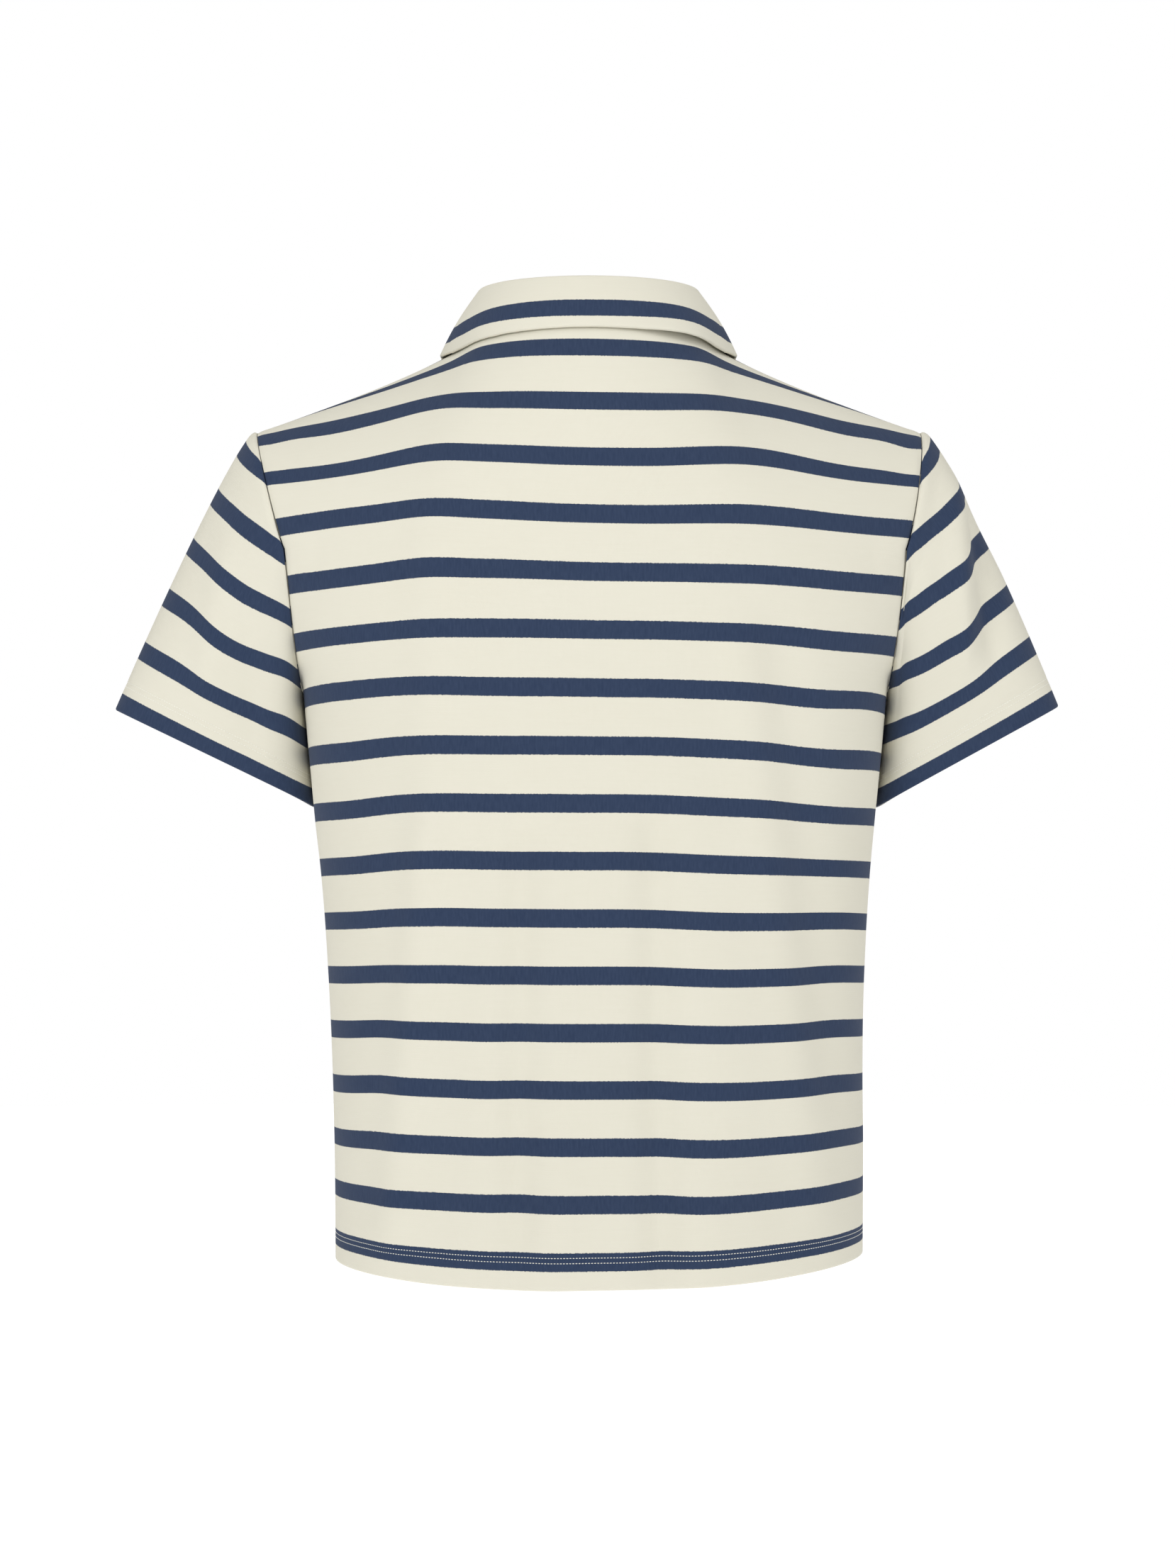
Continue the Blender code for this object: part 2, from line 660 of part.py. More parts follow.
def make_collar(grids, surface, material):
    mirror = np.array([-1, 1, 1])
    places = neckline(grids)
    halves = [column / (len(places) - 1) for column in range(len(places))]
    left = [collar_section(half, place, surface) for half, place in zip(halves, places)]
    right = [[point * mirror for point in section] for section in reversed(left[1:])]
    grid = np.array(right + left)
    normals = face_normals(grid, (0, 0, 1))
    middle = grid.shape[0] // 2
    if normals[middle, STAND_STEPS + ARC_STEPS // 2, 2] < 0:
        normals = -normals
    outward = [place[2] for place in places]
    seam_side = np.array([out * mirror for out in reversed(outward[1:])] + outward)
    normals[:, 0] = -seam_side
    grid = raise_clear(grid, normals, surface)
    return wall("collar", grid, grid - normals * COLLAR_CLOTH, material)


def raise_clear(grid, normals, surface):
    """Lift the turned-down part until its under side, cells included, is clear of the shirt."""
    grid = grid.copy()
    first = STAND_STEPS + ARC_STEPS
    for _ in range(CLEAR_ROUNDS):
        under = grid - normals * COLLAR_CLOTH
        middles = (under[:-1, :-1] + under[1:, :-1] + under[:-1, 1:] + under[1:, 1:]) / 4
        for row in range(grid.shape[0] - 1):
            for column in range(first, grid.shape[1] - 1):
                for point in (middles[row, column], under[row, column + 1], under[row + 1, column + 1]):
                    place, normal, _, _ = surface.find_nearest(Vector(point))
                    short = COLLAR_UNDER - (Vector(point) - place).dot(normal)
                    if short > 0:
                        grid[row:row + 2, column + 1] += np.array(normal) * short / 2
    return grid


def at_width(row, x):
    """The point of one row of the front panel that lies at this x."""
    return np.array([x] + [np.interp(x, row[:, 0], row[:, axis]) for axis in (1, 2)])


def make_strip(name, grid, half_width, below, lift, cloth, material):
    """A strip of the placket, made from the front panel's rows and moved out by lift. Returns its face."""
    first, _ = placket_rows(grid)
    middle = grid.shape[1] // 2
    rows = list(grid[first:])
    span = grid[first, middle, 2] - grid[first - 1, middle, 2]
    rows[0] = rows[0] + (grid[first - 1] - grid[first]) * below / span
    across = np.linspace(-half_width, half_width, STRIP_COLUMNS + 1)
    points = np.array([[at_width(row, x) for x in across] for row in rows])
    outward = face_normals(points, OUTWARD["front"])
    outer = points + outward * lift
    wall(name, outer, outer - outward * cloth, material)
    return outer


def rest_on(strip, height):
    """Where a button lies on a strip at this height, and the way that it faces."""
    tree = outer_surface({"front": strip})
    spots = {}
    for across in (-2, -1, 0, 1, 2):
        for up in (-2, -1, 0, 1, 2):
            start = Vector((across * BUTTON_RADIUS / 2, -400, height + up * BUTTON_RADIUS / 2))
            spots[across, up] = tree.ray_cast(start, Vector((0, 1, 0)))[0]
    facing = (spots[2, 0] - spots[-2, 0]).cross(spots[0, 2] - spots[0, -2]).normalized()
    highest = max((spot - spots[0, 0]).dot(facing) for spot in spots.values())
    return spots[0, 0] + facing * (highest + SEAM_GAP), facing


def make_button(number, strip, depth, material):
    """A four-hole shirt button lying on the face of the placket's upper strip."""
    base, normal = rest_on(strip, strip[-1, STRIP_COLUMNS // 2, 2] - depth)
    bpy.ops.mesh.primitive_cylinder_add(vertices=24, radius=BUTTON_RADIUS * MM, depth=BUTTON_HEIGHT * MM)
    button = bpy.context.object
    button.name = f"button_{number}"
    button.data.name = button.name
    hollow = cutter(BUTTON_RADIUS - BUTTON_RIM, BUTTON_WELL * 2, (0, 0, BUTTON_HEIGHT / 2), 24)
    holes = []
    for across in (-1, 1):
        for down in (-1, 1):
            at = (across * HOLE_SPREAD, down * HOLE_SPREAD, 0)
            holes.append(cutter(HOLE_RADIUS, BUTTON_HEIGHT * 3, at, 8))
    for tool in [hollow] + holes:
        cut = button.modifiers.new("cut", "BOOLEAN")
        cut.operation = "DIFFERENCE"
        cut.solver = "EXACT"
        cut.object = tool
    button.rotation_euler = normal.to_track_quat("Z", "Y").to_euler()
    button.location = (base + normal * BUTTON_HEIGHT / 2) * MM
    for tool in [hollow] + holes:
        tool.parent = button
    button.data.materials.append(material)
    return button


def cutter(radius, depth, place, sides):
    bpy.ops.mesh.primitive_cylinder_add(vertices=sides, radius=radius * MM, depth=depth * MM)
    tool = bpy.context.object
    tool.location = Vector(place) * MM
    tool.hide_render = True
    tool.display_type = "WIRE"
    return tool


def build():
    clear_scene()
    body = cloth_material("body_jersey", CREAM, 0.9)
    sleeve = cloth_material("sleeve_jersey", CREAM, 0.9)
    collar = cloth_material("collar_jersey", CREAM, 0.9)
    strip = cloth_material("placket_jersey", CREAM, 0.9)
    shell = cloth_material("button_shell", SHELL, 0.35)

    grids = {panel: make_panel(panel, body) for panel in ("back", "front")}
    surface = outer_surface(grids)
    for row in SLEEVES:
        make_sleeve(*row, grids, sleeve)
    make_collar(grids, surface, collar)

    front = grids["front"]
    over_lift = SEAM_GAP + STRIP_CLOTH
    over_half = PLACKET_HALF + STRIP_OVERLAP
    make_strip("placket_under", front, PLACKET_HALF, -SEAM_GAP, 0.0, JERSEY, strip)
    face = make_strip("placket_over", front, over_half, STRIP_FOOT, over_lift, STRIP_CLOTH, strip)
    for number, depth in enumerate(BUTTON_DEPTHS, start=1):
        make_button(number, face, depth, shell)


build()
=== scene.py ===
# %% [markdown]
# # A striped polo shirt
#
# This lesson dresses a plain hollow model of a short-sleeved polo shirt. The plain model, which we
# call the frame, already has the right size, so every piece of cloth made here is a finer copy of
# one of its walls. The shirt is knitted cream cotton jersey with navy stripes, and it keeps the
# rounded form that it has when it is worn. Its back is what the main picture shows.

from math import cos, pi, radians, sin

import bpy
import numpy as np
from mathutils import Matrix, Vector
from mathutils.bvhtree import BVHTree


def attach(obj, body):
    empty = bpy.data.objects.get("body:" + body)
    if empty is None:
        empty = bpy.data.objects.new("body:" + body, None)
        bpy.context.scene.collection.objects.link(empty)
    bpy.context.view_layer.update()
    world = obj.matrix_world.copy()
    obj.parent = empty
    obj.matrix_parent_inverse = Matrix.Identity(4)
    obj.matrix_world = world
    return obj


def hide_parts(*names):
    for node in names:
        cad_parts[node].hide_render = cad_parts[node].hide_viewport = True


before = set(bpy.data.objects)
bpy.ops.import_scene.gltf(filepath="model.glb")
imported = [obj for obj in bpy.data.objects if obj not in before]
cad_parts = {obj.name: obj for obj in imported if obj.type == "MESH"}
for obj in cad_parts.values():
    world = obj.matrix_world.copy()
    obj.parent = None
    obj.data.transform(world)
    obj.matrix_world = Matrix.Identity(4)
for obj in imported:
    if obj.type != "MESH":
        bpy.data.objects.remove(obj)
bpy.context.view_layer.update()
print("frame pieces:", ", ".join(sorted(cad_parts)))

# %% [markdown]
# ## Units and cloth
#
# A garment is drafted in millimetres, so the sizes below are in millimetres and are turned into
# Blender's metres in one place, where a mesh is made. The front of the shirt faces -Y, the wearer's
# left is +X, and the origin is the middle of the base of the neck.

# %% Cloth sizes
MM = 0.001
JERSEY = 1.5             # thickness of the body and sleeve cloth
HEM_CLOTH = 2.6          # the same cloth where it is turned up
COLLAR_CLOTH = 2.0       # two layers
HEM_TURN = 20.0
HEM_STEP = 1.5
SEAM_GAP = 0.3
STRIPE_PITCH = 33.0      # from the middle of one navy stripe to the next
STRIPE_BAND = 10.7       # height of a navy stripe
EDGE_ROUNDING = 0.85     # 1 would bring the two faces of a folded edge to a line
print("one stripe and its gap:", STRIPE_PITCH, "mm")

# %% [markdown]
# ## A wall of cloth from a grid of points
#
# Each piece of a garment is a sheet with two faces. It could be a surface with a Solidify modifier,
# but a hem, a folded edge and a seam all change the thickness near an edge. So a piece here starts
# as a grid of points on its outer face, and the inner face is the same grid moved inwards. Where an
# edge is free, both faces draw together, which makes the soft rounded edge of folded cloth.
#
# Each point also carries its place on the flat cloth, across and up, in metres. This is stored as
# a UV map, and the stripes and the knit are drawn from it, so they follow every fold.

# %% Grid helpers
def grid_normals(grid, outward, wrap=False):
    """Unit normals of a grid of points; outward is the side that its middle faces."""
    if wrap:
        padded = np.concatenate([grid[:, -1:], grid, grid[:, :1]], axis=1)
        along = padded[:, 2:] - padded[:, :-2]
    else:
        along = np.gradient(grid, axis=1)
    normals = np.cross(along, np.gradient(grid, axis=0))
    normals /= np.maximum(np.linalg.norm(normals, axis=2, keepdims=True), 1e-9)
    middle = normals[grid.shape[0] // 2, grid.shape[1] // 2]
    return -normals if np.dot(middle, outward) < 0 else normals


def lengths(grid, axis):
    """Distance along the rows or columns of a grid, from its first point."""
    steps = np.linalg.norm(np.diff(grid, axis=axis), axis=2)
    start = np.zeros_like(np.take(steps, [0], axis=axis))
    return np.concatenate([start, np.cumsum(steps, axis=axis)], axis=axis)


def rounded(distance, thickness):
    """How far each face is drawn in, this far from a folded edge."""
    radius = thickness / 2
    reach = np.clip(distance, 0.0, radius)
    return np.minimum(radius - np.sqrt(radius ** 2 - (radius - reach) ** 2), EDGE_ROUNDING * radius)


# %% [markdown]
# The wall is one face for each cell of the grid on both sides, and a face across the thickness
# wherever a cell has no neighbour, which is how cloth looks at a raw cut.

# %% The wall itself
def cloth_wall(name, grid, normals, thickness, edge_distance, cloth_uv, keep=None, wrap=False):
    """Make a closed wall from its outer face; cloth_uv holds each point's place on flat cloth."""
    draw_in = rounded(edge_distance, thickness)[..., None]
    outer = grid - normals * draw_in
    inner = grid - normals * (thickness[..., None] - draw_in)
    rows, columns = grid.shape[:2]
    across = columns if wrap else columns - 1
    kept = np.ones((rows - 1, across), dtype=bool) if keep is None else keep
    points = np.concatenate([outer.reshape(-1, 3), inner.reshape(-1, 3)]) * MM
    faces = []
    places = []

    def add_face(corners):
        faces.append([layer * rows * columns + row * columns + column % columns
                      for layer, row, column in corners])
        places.extend((row, column) for _, row, column in corners)

    def is_kept(row, column):
        if wrap:
            column %= columns
        return 0 <= row < rows - 1 and 0 <= column < across and kept[row, column]

    for row, column in zip(*np.nonzero(kept)):
        loop = [(row, column), (row, column + 1), (row + 1, column + 1), (row + 1, column)]
        add_face([(0, *place) for place in loop])
        add_face([(1, *place) for place in reversed(loop)])
        beyond = [(row - 1, column), (row, column + 1), (row + 1, column), (row, column - 1)]
        for side, neighbour in enumerate(beyond):
            if not is_kept(*neighbour):
                first, second = loop[side], loop[(side + 1) % 4]
                add_face([(0, *second), (0, *first), (1, *first), (1, *second)])
    return finish_mesh(name, points, faces, np.array([cloth_uv[place] for place in places]) * MM)


def finish_mesh(name, points, faces, loop_uv=None):
    """Turn points and faces into a smooth object whose faces point outwards."""
    used = np.unique(np.concatenate([np.array(face) for face in faces]))
    renumber = np.full(len(points), -1)
    renumber[used] = np.arange(len(used))
    mesh = bpy.data.meshes.new(name)
    mesh.from_pydata(points[used].tolist(), [], [renumber[face].tolist() for face in faces])
    if loop_uv is not None:
        layer = mesh.uv_layers.new(name="cloth")
        layer.data.foreach_set("uv", loop_uv.reshape(-1).astype(np.float32))
    if enclosed_volume(mesh) < 0:
        mesh.flip_normals()
    mesh.shade_smooth()
    mesh.set_sharp_from_angle(angle=radians(60))
    piece = bpy.data.objects.new(name, mesh)
    bpy.context.scene.collection.objects.link(piece)
    return piece


def enclosed_volume(mesh):
    """Signed volume of a mesh; it is negative when the faces point inwards."""
    mesh.calc_loop_triangles()
    corners = np.zeros(len(mesh.loop_triangles) * 3, dtype=np.int32)
    mesh.loop_triangles.foreach_get("vertices", corners)
    points = np.zeros(len(mesh.vertices) * 3)
    mesh.vertices.foreach_get("co", points)
    first, second, third = points.reshape(-1, 3)[corners.reshape(-1, 3)].transpose(1, 0, 2)
    return float(np.einsum("ij,ij->i", first, np.cross(second, third)).sum() / 6)


# %% [markdown]
# ## The body
#
# The back and the front are each one flat piece of jersey that wraps half way round the wearer.
# Seen from above, the worn body is a rounded oblong. A short table gives its half width and its
# depth at a few heights, and a smooth curve is read through them. Sculpting could give this shape
# too, but a table keeps the two side seams exactly together.

# %% Body sizes
SIDE_Y = -5.0
ROUNDNESS = 1 / 1.2      # 1 is an ellipse, less is squarer
HEM_Z = -549.0
HEM_DROP = 9.6
HEM_TILT = 0.012         # the right side of the worn hem is a little higher
HEM_DROP_FADES = 120.0
UNDERARM_Z = -205.0
BLADE_Z = -125.0         # widest point of the armhole
TIP_Z = -46.3            # outer end of the shoulder seam
BODY_RINGS = np.array((
    # height, half width, shift to the wearer's left, depth of back, depth of front
    (-560.0, 161.2, -6.5, 105.0, -116.0),
    (-480.0, 161.7, -6.3, 106.0, -118.0),
    (-389.0, 163.4, -4.9, 107.5, -120.5),
    (-311.0, 168.3, -4.2, 109.5, -121.5),
    (-285.0, 171.0, -3.9, 110.0, -122.0),
    (-258.0, 173.6, -4.0, 110.8, -121.8),
    (-205.0, 178.5, -4.0, 112.0, -121.0),
    (-125.0, 184.0, -4.0, 112.0, -112.0),
    (-80.0, 190.0, -2.3, 112.0, -112.0),
    (-45.0, 202.0, 0.0, 112.0, -112.0),
))
ARMHOLE = {"back": 59.5, "front": -55.5}     # how far the armhole reaches behind and in front
BLADE_X = 184.0
UNDERARM_X = 178.5
SHOULDER_X = 202.0
SHOULDER_CURVE = 0.85
OUTWARD = {"back": (0.0, 1.0, 0.0), "front": (0.0, -1.0, 0.0)}
print("chest, side to side:", 2 * UNDERARM_X, "mm")

# %% Rings of the body
def at_height(column, height):
    """Read one column of BODY_RINGS at any height."""
    heights, values = BODY_RINGS[:, 0], BODY_RINGS[:, column]
    slopes = np.gradient(values, heights)
    height = np.clip(height, heights[0], heights[-1])
    place = np.clip(np.searchsorted(heights, height, side="right") - 1, 0, len(heights) - 2)
    span = heights[place + 1] - heights[place]
    t = (height - heights[place]) / span
    bend = (t ** 3 - 2 * t ** 2 + t) * slopes[place] + (t ** 3 - t ** 2) * slopes[place + 1]
    rise = 3 * t ** 2 - 2 * t ** 3
    return values[place] * (1 - rise) + values[place + 1] * rise + span * bend


def panel_depth(panel, height):
    return at_height(3 if panel == "back" else 4, height)


def ring(share, half_width, depth, end_angle):
    """A level ring; share runs from 0 at its middle to 1 at its end."""
    angle = np.radians(end_angle * share)
    x = half_width * np.sin(angle) ** ROUNDNESS
    y = SIDE_Y + (depth - SIDE_Y) * np.maximum(np.cos(angle), 0.0) ** ROUNDNESS
    return x, y


def armhole_point(angle, panel):
    """The left armhole, from the shoulder tip at 0 round to the underarm at 180 degrees."""
    rise = np.cos(np.radians(angle))
    out = ARMHOLE[panel] * np.sin(np.radians(angle))
    above = np.maximum(rise, 0.0)
    below = np.minimum(rise, 0.0)
    x = BLADE_X + (SHOULDER_X - BLADE_X) * above ** SHOULDER_CURVE + (BLADE_X - UNDERARM_X) * below
    y = out - SIDE_Y * below
    z = BLADE_Z + (TIP_Z - BLADE_Z) * above + (BLADE_Z - UNDERARM_Z) * below
    return x, y, z


def ring_at_armhole(panel, height):
    """Half width, end angle and depth of the ring that stops at the armhole's edge."""
    rise = np.clip((height - BLADE_Z) / (BLADE_Z - UNDERARM_Z), -1.0, 0.0)
    edge_x, edge_y, _ = armhole_point(np.degrees(np.arccos(rise)), panel)
    depth = panel_depth(panel, height)
    end_angle = 90 - np.degrees(np.arcsin(((edge_y - SIDE_Y) / (depth - SIDE_Y)) ** (1 / ROUNDNESS)))
    half_width = edge_x / np.sin(np.radians(end_angle)) ** ROUNDNESS
    return half_width, end_angle, depth


# %% [markdown]
# The top of each panel bends over the shoulder to its seam, and its middle ends at the neckline.
# The bend is an arc between two slopes, so the cloth leaves the back upright and meets the shoulder
# seam nearly level.

# %% Neckline and shoulder
NECK_X = 75.0
NECK_Y = 8.0
NECK_Z = 7.0
NECK_BACK = 80.0
NECK_FRONT = 64.0
NECK_DROP = 69.0
NECK_SCOOP = 1.4
SHOULDER_BEND = 0.81
SEAM_SLOPE = 74.0
NECK_SLOPE = {"back": 60.0, "front": 50.0}
FRONT_CHEST_SLOPE = 15.0


def top_edge(panel, share, neck_share):
    """The neckline up to neck_share, then the shoulder seam."""
    turn = pi / 2 * np.minimum(share / neck_share, 1.0)
    if panel == "back":
        neck = NECK_X * np.sin(turn), NECK_Y + NECK_BACK * np.cos(turn), NECK_Z - np.cos(turn)
    else:
        drop = NECK_DROP * np.maximum(np.cos(turn), 0.0) ** NECK_SCOOP
        neck = NECK_X * np.sin(turn), NECK_Y - NECK_FRONT * np.cos(turn), NECK_Z - drop
    along = np.maximum(share - neck_share, 0.0) / (1 - neck_share)
    seam = (NECK_X + (SHOULDER_X - NECK_X) * along, NECK_Y * (1 - along),
            NECK_Z - (NECK_Z - TIP_Z) * along ** SHOULDER_BEND)
    return [np.where(share < neck_share, a, b) for a, b in zip(neck, seam)]


def over_shoulder(panel, share, neck_share, part):
    """Between the blade line, part 0, and the neckline or shoulder seam, part 1."""
    half_width, end_angle, depth = ring_at_armhole(panel, BLADE_Z)
    low_x, low_y = ring(share, half_width, depth, end_angle)
    top_x, top_y, top_z = top_edge(panel, share, neck_share)
    first = 0.0 * share if panel == "back" else FRONT_CHEST_SLOPE * (1 - share) ** 2
    last = NECK_SLOPE[panel] + (SEAM_SLOPE - NECK_SLOPE[panel]) * np.minimum(share / neck_share, 1) ** 2
    last = last + (90 - last) * np.maximum(share - neck_share, 0.0) / (1 - neck_share)
    here = np.radians(first + (last - first) * part)
    first, last = np.radians(first), np.radians(last)
    rise = (np.sin(here) - np.sin(first)) / (np.sin(last) - np.sin(first))
    inward = (np.cos(first) - np.cos(here)) / (np.cos(first) - np.cos(last))
    x = low_x + (top_x - low_x) * rise ** SHOULDER_CURVE
    return x, low_y + (top_y - low_y) * inward, BLADE_Z + (top_z - BLADE_Z) * rise


# %% [markdown]
# A panel's grid has a row every few millimetres, and more of them at the hem and beside the seams,
# where the cloth turns sharply. The same numbers serve the front and the back.

# %% Rows and columns of a panel
NECK_COLUMNS = 40
SHOULDER_COLUMNS = 34
EDGE_SHARES = (0.0006, 0.0024, 0.006, 0.012)     # extra columns beside the side seam and armhole
HEM_ROWS = (0.0, 0.1, 0.35, 0.8, 1.3, 2.4, 4.5, 8.0, 11.5, 14.6, 15.4, 16.2, 17.0, 17.8, 18.6, 19.4, 20.2)
ROW_ABOVE_HEM = 1.6      # from the last of them to the first ordinary row
ROW_STEP = 4.0
ARM_ROWS = 20            # between the underarm and the blade
TOP_ROWS = 40
TOP_EDGE_PARTS = (0.975, 0.985, 0.993, 0.998)    # extra rows beside the shoulder seam

neck_part = np.linspace(0, 1, NECK_COLUMNS + 1)
shoulder_part = np.linspace(0, 1, SHOULDER_COLUMNS + 1)[1:]
NECK_SHARE_OF_PANEL = NECK_COLUMNS / (NECK_COLUMNS + SHOULDER_COLUMNS)
SHARES = np.unique(np.concatenate([
    neck_part * NECK_SHARE_OF_PANEL,
    NECK_SHARE_OF_PANEL + shoulder_part * (1 - NECK_SHARE_OF_PANEL),
    1 - np.array(EDGE_SHARES),
]))
rows_above_hem = np.arange(HEM_ROWS[-1] + ROW_ABOVE_HEM, UNDERARM_Z - HEM_Z - ROW_STEP / 2, ROW_STEP)
body_heights = HEM_Z + np.concatenate([HEM_ROWS, rows_above_hem, [UNDERARM_Z - HEM_Z]])
arm_parts = np.arange(1, ARM_ROWS + 1) / ARM_ROWS
top_parts = np.unique(np.concatenate([np.arange(1, TOP_ROWS + 1) / TOP_ROWS, TOP_EDGE_PARTS]))
print("panel grid:", len(body_heights) + len(arm_parts) + len(top_parts), "rows by", 2 * len(SHARES) - 1)

# %% [markdown]
# How high a point lies on the flat cloth decides where the stripes fall. Up to the armholes it is
# the distance from the hem up the middle of the panel. Higher up, the worn cloth is eased round the
# shoulder blades, so its stripes stay level and even until the cloth turns over the shoulder.

# %% Points of a panel
STRETCH_ENDS = (0.2, 0.5)    # where the easing starts and stops to fade, 0 upright and 1 level


def panel_grid(panel):
    """Outer face of the back or front from the hem up, and how high each point is on flat cloth."""
    share = SHARES[None, :]
    height = body_heights[:, None] + 0 * share
    x, y = ring(share, at_height(1, height), panel_depth(panel, height), 90.0)
    fade = np.clip(1 - (height - HEM_Z) / HEM_DROP_FADES, 0, 1) ** 2
    body = np.stack([x, y, height - HEM_DROP * fade * np.cos(pi / 2 * share) ** 2], axis=2)

    part = arm_parts[:, None]
    level = UNDERARM_Z + (BLADE_Z - UNDERARM_Z) * part
    edge = BLADE_Z - (BLADE_Z - UNDERARM_Z) * np.cos(pi / 2 * part)
    height = level + (edge - level) * share ** 2
    half_width, end_angle, depth = ring_at_armhole(panel, height)
    arm = np.stack([*ring(share, half_width, depth, end_angle), height], axis=2)

    top = np.stack(over_shoulder(panel, share, NECK_SHARE_OF_PANEL, top_parts[:, None]), axis=2)
    half = np.concatenate([body, arm, top])

    middle_up = lengths(half[:, :1], 0)[:, 0]
    blade = len(body) + len(arm) - 1
    up = np.repeat(middle_up[:, None], len(SHARES), axis=1)
    up[len(body):blade + 1] = np.interp(half[len(body):blade + 1, :, 2], half[:blade + 1, 0, 2],
                                        middle_up[:blade + 1])
    along = np.diff(lengths(half[blade:], 0), axis=0)
    rise = np.diff(half[blade:, :, 2], axis=0)
    turned = np.clip((1 - rise / along - STRETCH_ENDS[0]) / (STRETCH_ENDS[1] - STRETCH_ENDS[0]), 0, 1)
    up[blade + 1:] = up[blade] + np.cumsum(rise + (along - rise) * turned, axis=0)
    grid = np.concatenate([half[:, :0:-1] * (-1, 1, 1), half], axis=1)
    up = np.concatenate([up[:, :0:-1], up], axis=1)
    tilt = HEM_TILT * np.concatenate([fade[:, :0:-1], fade], axis=1)
    grid[:len(body), :, 2] -= tilt * grid[:len(body), :, 0]
    grid[..., 0] += at_height(2, grid[..., 2])
    return grid, up


UNDERARM_ROW = len(body_heights) - 1
BLADE_ROW = UNDERARM_ROW + len(arm_parts)
MIDDLE = len(SHARES) - 1
SHOULDER_COLUMN = int(np.searchsorted(SHARES, NECK_SHARE_OF_PANEL - 1e-6))
panels = {panel: panel_grid(panel) for panel in ("back", "front")}
print("middle of the back, hem to neck:", round(float(panels["back"][1][-1, MIDDLE])), "mm")

# %% [markdown]
# Where one formula hands over to the next, a faint crease would show in the light. Averaging each
# point with the ones above and below it, only near those heights and not at the seams, fairs the
# surface, as a smoothing brush would.

# %% Fair the surface
FAIR_REACH = 34.0        # how far above and below the joint the smoothing acts
FAIR_ROUNDS = 60
FAIR_FROM_EDGE = 26.0
FAIR_COLUMNS = 16        # as far on each side of the column below the neck point
FAIR_FROM_TOP = 22.0


def from_edges(grid):
    """Distance of each point from the nearer side edge of its row."""
    along = lengths(grid, 1)
    return np.minimum(along, along[:, -1:] - along)


def near(distance, reach):
    """1 close to a line, fading to 0 at its reach."""
    return np.clip(1.5 - 1.5 * distance / reach, 0, 1)


def relax(whole, weight):
    """Draw each row towards the middle of its two neighbours, by half its weight, many times."""
    for _ in range(FAIR_ROUNDS):
        middle = (whole[:-2] + whole[2:]) / 2
        whole[1:-1] += 0.5 * weight[1:-1, :, None] * (middle - whole[1:-1])


def fair(grid, up):
    """Smooth a panel and its places on the flat cloth together."""
    whole = np.concatenate([grid, up[..., None]], axis=2)
    weight = np.zeros(up.shape)
    for line in (UNDERARM_ROW, BLADE_ROW):
        away = np.abs(grid[..., 2] - grid[line, MIDDLE, 2])
        weight = np.maximum(weight, near(away, FAIR_REACH))
    weight *= np.clip(from_edges(grid) / FAIR_FROM_EDGE, 0, 1) ** 2
    weight[:len(HEM_ROWS) + 2] = 0
    relax(whole, weight)
    below_neck_point = np.abs(np.abs(np.arange(grid.shape[1]) - MIDDLE) - SHOULDER_COLUMN)
    weight = near(below_neck_point, FAIR_COLUMNS)[None, :]
    weight = weight * np.clip(lengths(grid[::-1], 0)[::-1] / FAIR_FROM_TOP, 0, 1) ** 2
    weight[:BLADE_ROW] = 0
    relax(whole.transpose(1, 0, 2), weight.T)
    return whole[..., :3], whole[..., 3]


for panel, (grid, up) in panels.items():
    panels[panel] = fair(grid, up)
    print(panel, "smoothed by up to", round(float(np.abs(panels[panel][0] - grid).max()), 1), "mm")

# %% [markdown]
# Soft folds fall from the shoulder blades and from the armholes. Each is a line on a panel or a
# sleeve with a width and a rise: a positive rise is a ridge and a negative one a trough. Cloth
# simulation could find folds too, but a table puts them where the photographed shirt has them.

# %% Soft folds
FOLDS = (
    # piece and the side that it faces, top x, top height, low x, low height, width, rise
    ("back", 92.0, -90.0, 92.0, -330.0, 15.0, 2.8),
    ("back", 91.0, -262.0, 118.0, -560.0, 12.0, 4.6),
    ("back", 66.0, -262.0, 86.0, -560.0, 14.0, -1.6),
    ("back", 39.0, -270.0, 41.0, -560.0, 12.0, -5.8),
    ("back", -38.0, -260.0, -43.0, -575.0, 12.0, -5.8),
    ("back", -83.0, -150.0, -138.0, -550.0, 15.0, 2.6),
    ("back", -106.0, -150.0, -150.0, -480.0, 15.0, -2.4),
    ("back", -78.0, -330.0, -84.0, -600.0, 26.0, 2.6),
    ("back", 18.0, -470.0, 26.0, -610.0, 18.0, 2.4),
    ("back", -64.0, -470.0, -66.0, -610.0, 14.0, 1.8),
    ("front", 84.0, -220.0, 104.0, -560.0, 18.0, 3.4),
    ("front", -92.0, -200.0, -112.0, -560.0, 20.0, 3.6),
    ("front", 52.0, -250.0, 66.0, -560.0, 16.0, -2.4),
    ("front", -60.0, -240.0, -70.0, -560.0, 18.0, -2.6),
    ("front", 12.0, -330.0, 22.0, -570.0, 22.0, 1.8),
    ("sleeve_left back", 212.0, -96.0, 236.0, -232.0, 10.0, 2.6),
    ("sleeve_left back", 196.0, -130.0, 206.0, -262.0, 10.0, -2.2),
    ("sleeve_left front", 214.0, -90.0, 238.0, -232.0, 11.0, 2.6),
    ("sleeve_right back", -216.0, -56.0, -226.0, -212.0, 8.5, 5.4),
    ("sleeve_right back", -234.0, -70.0, -248.0, -212.0, 8.5, -5.6),
    ("sleeve_right back", -190.0, -84.0, -186.0, -250.0, 9.0, -2.4),
    ("sleeve_right front", -214.0, -90.0, -238.0, -232.0, 11.0, 2.6),
)
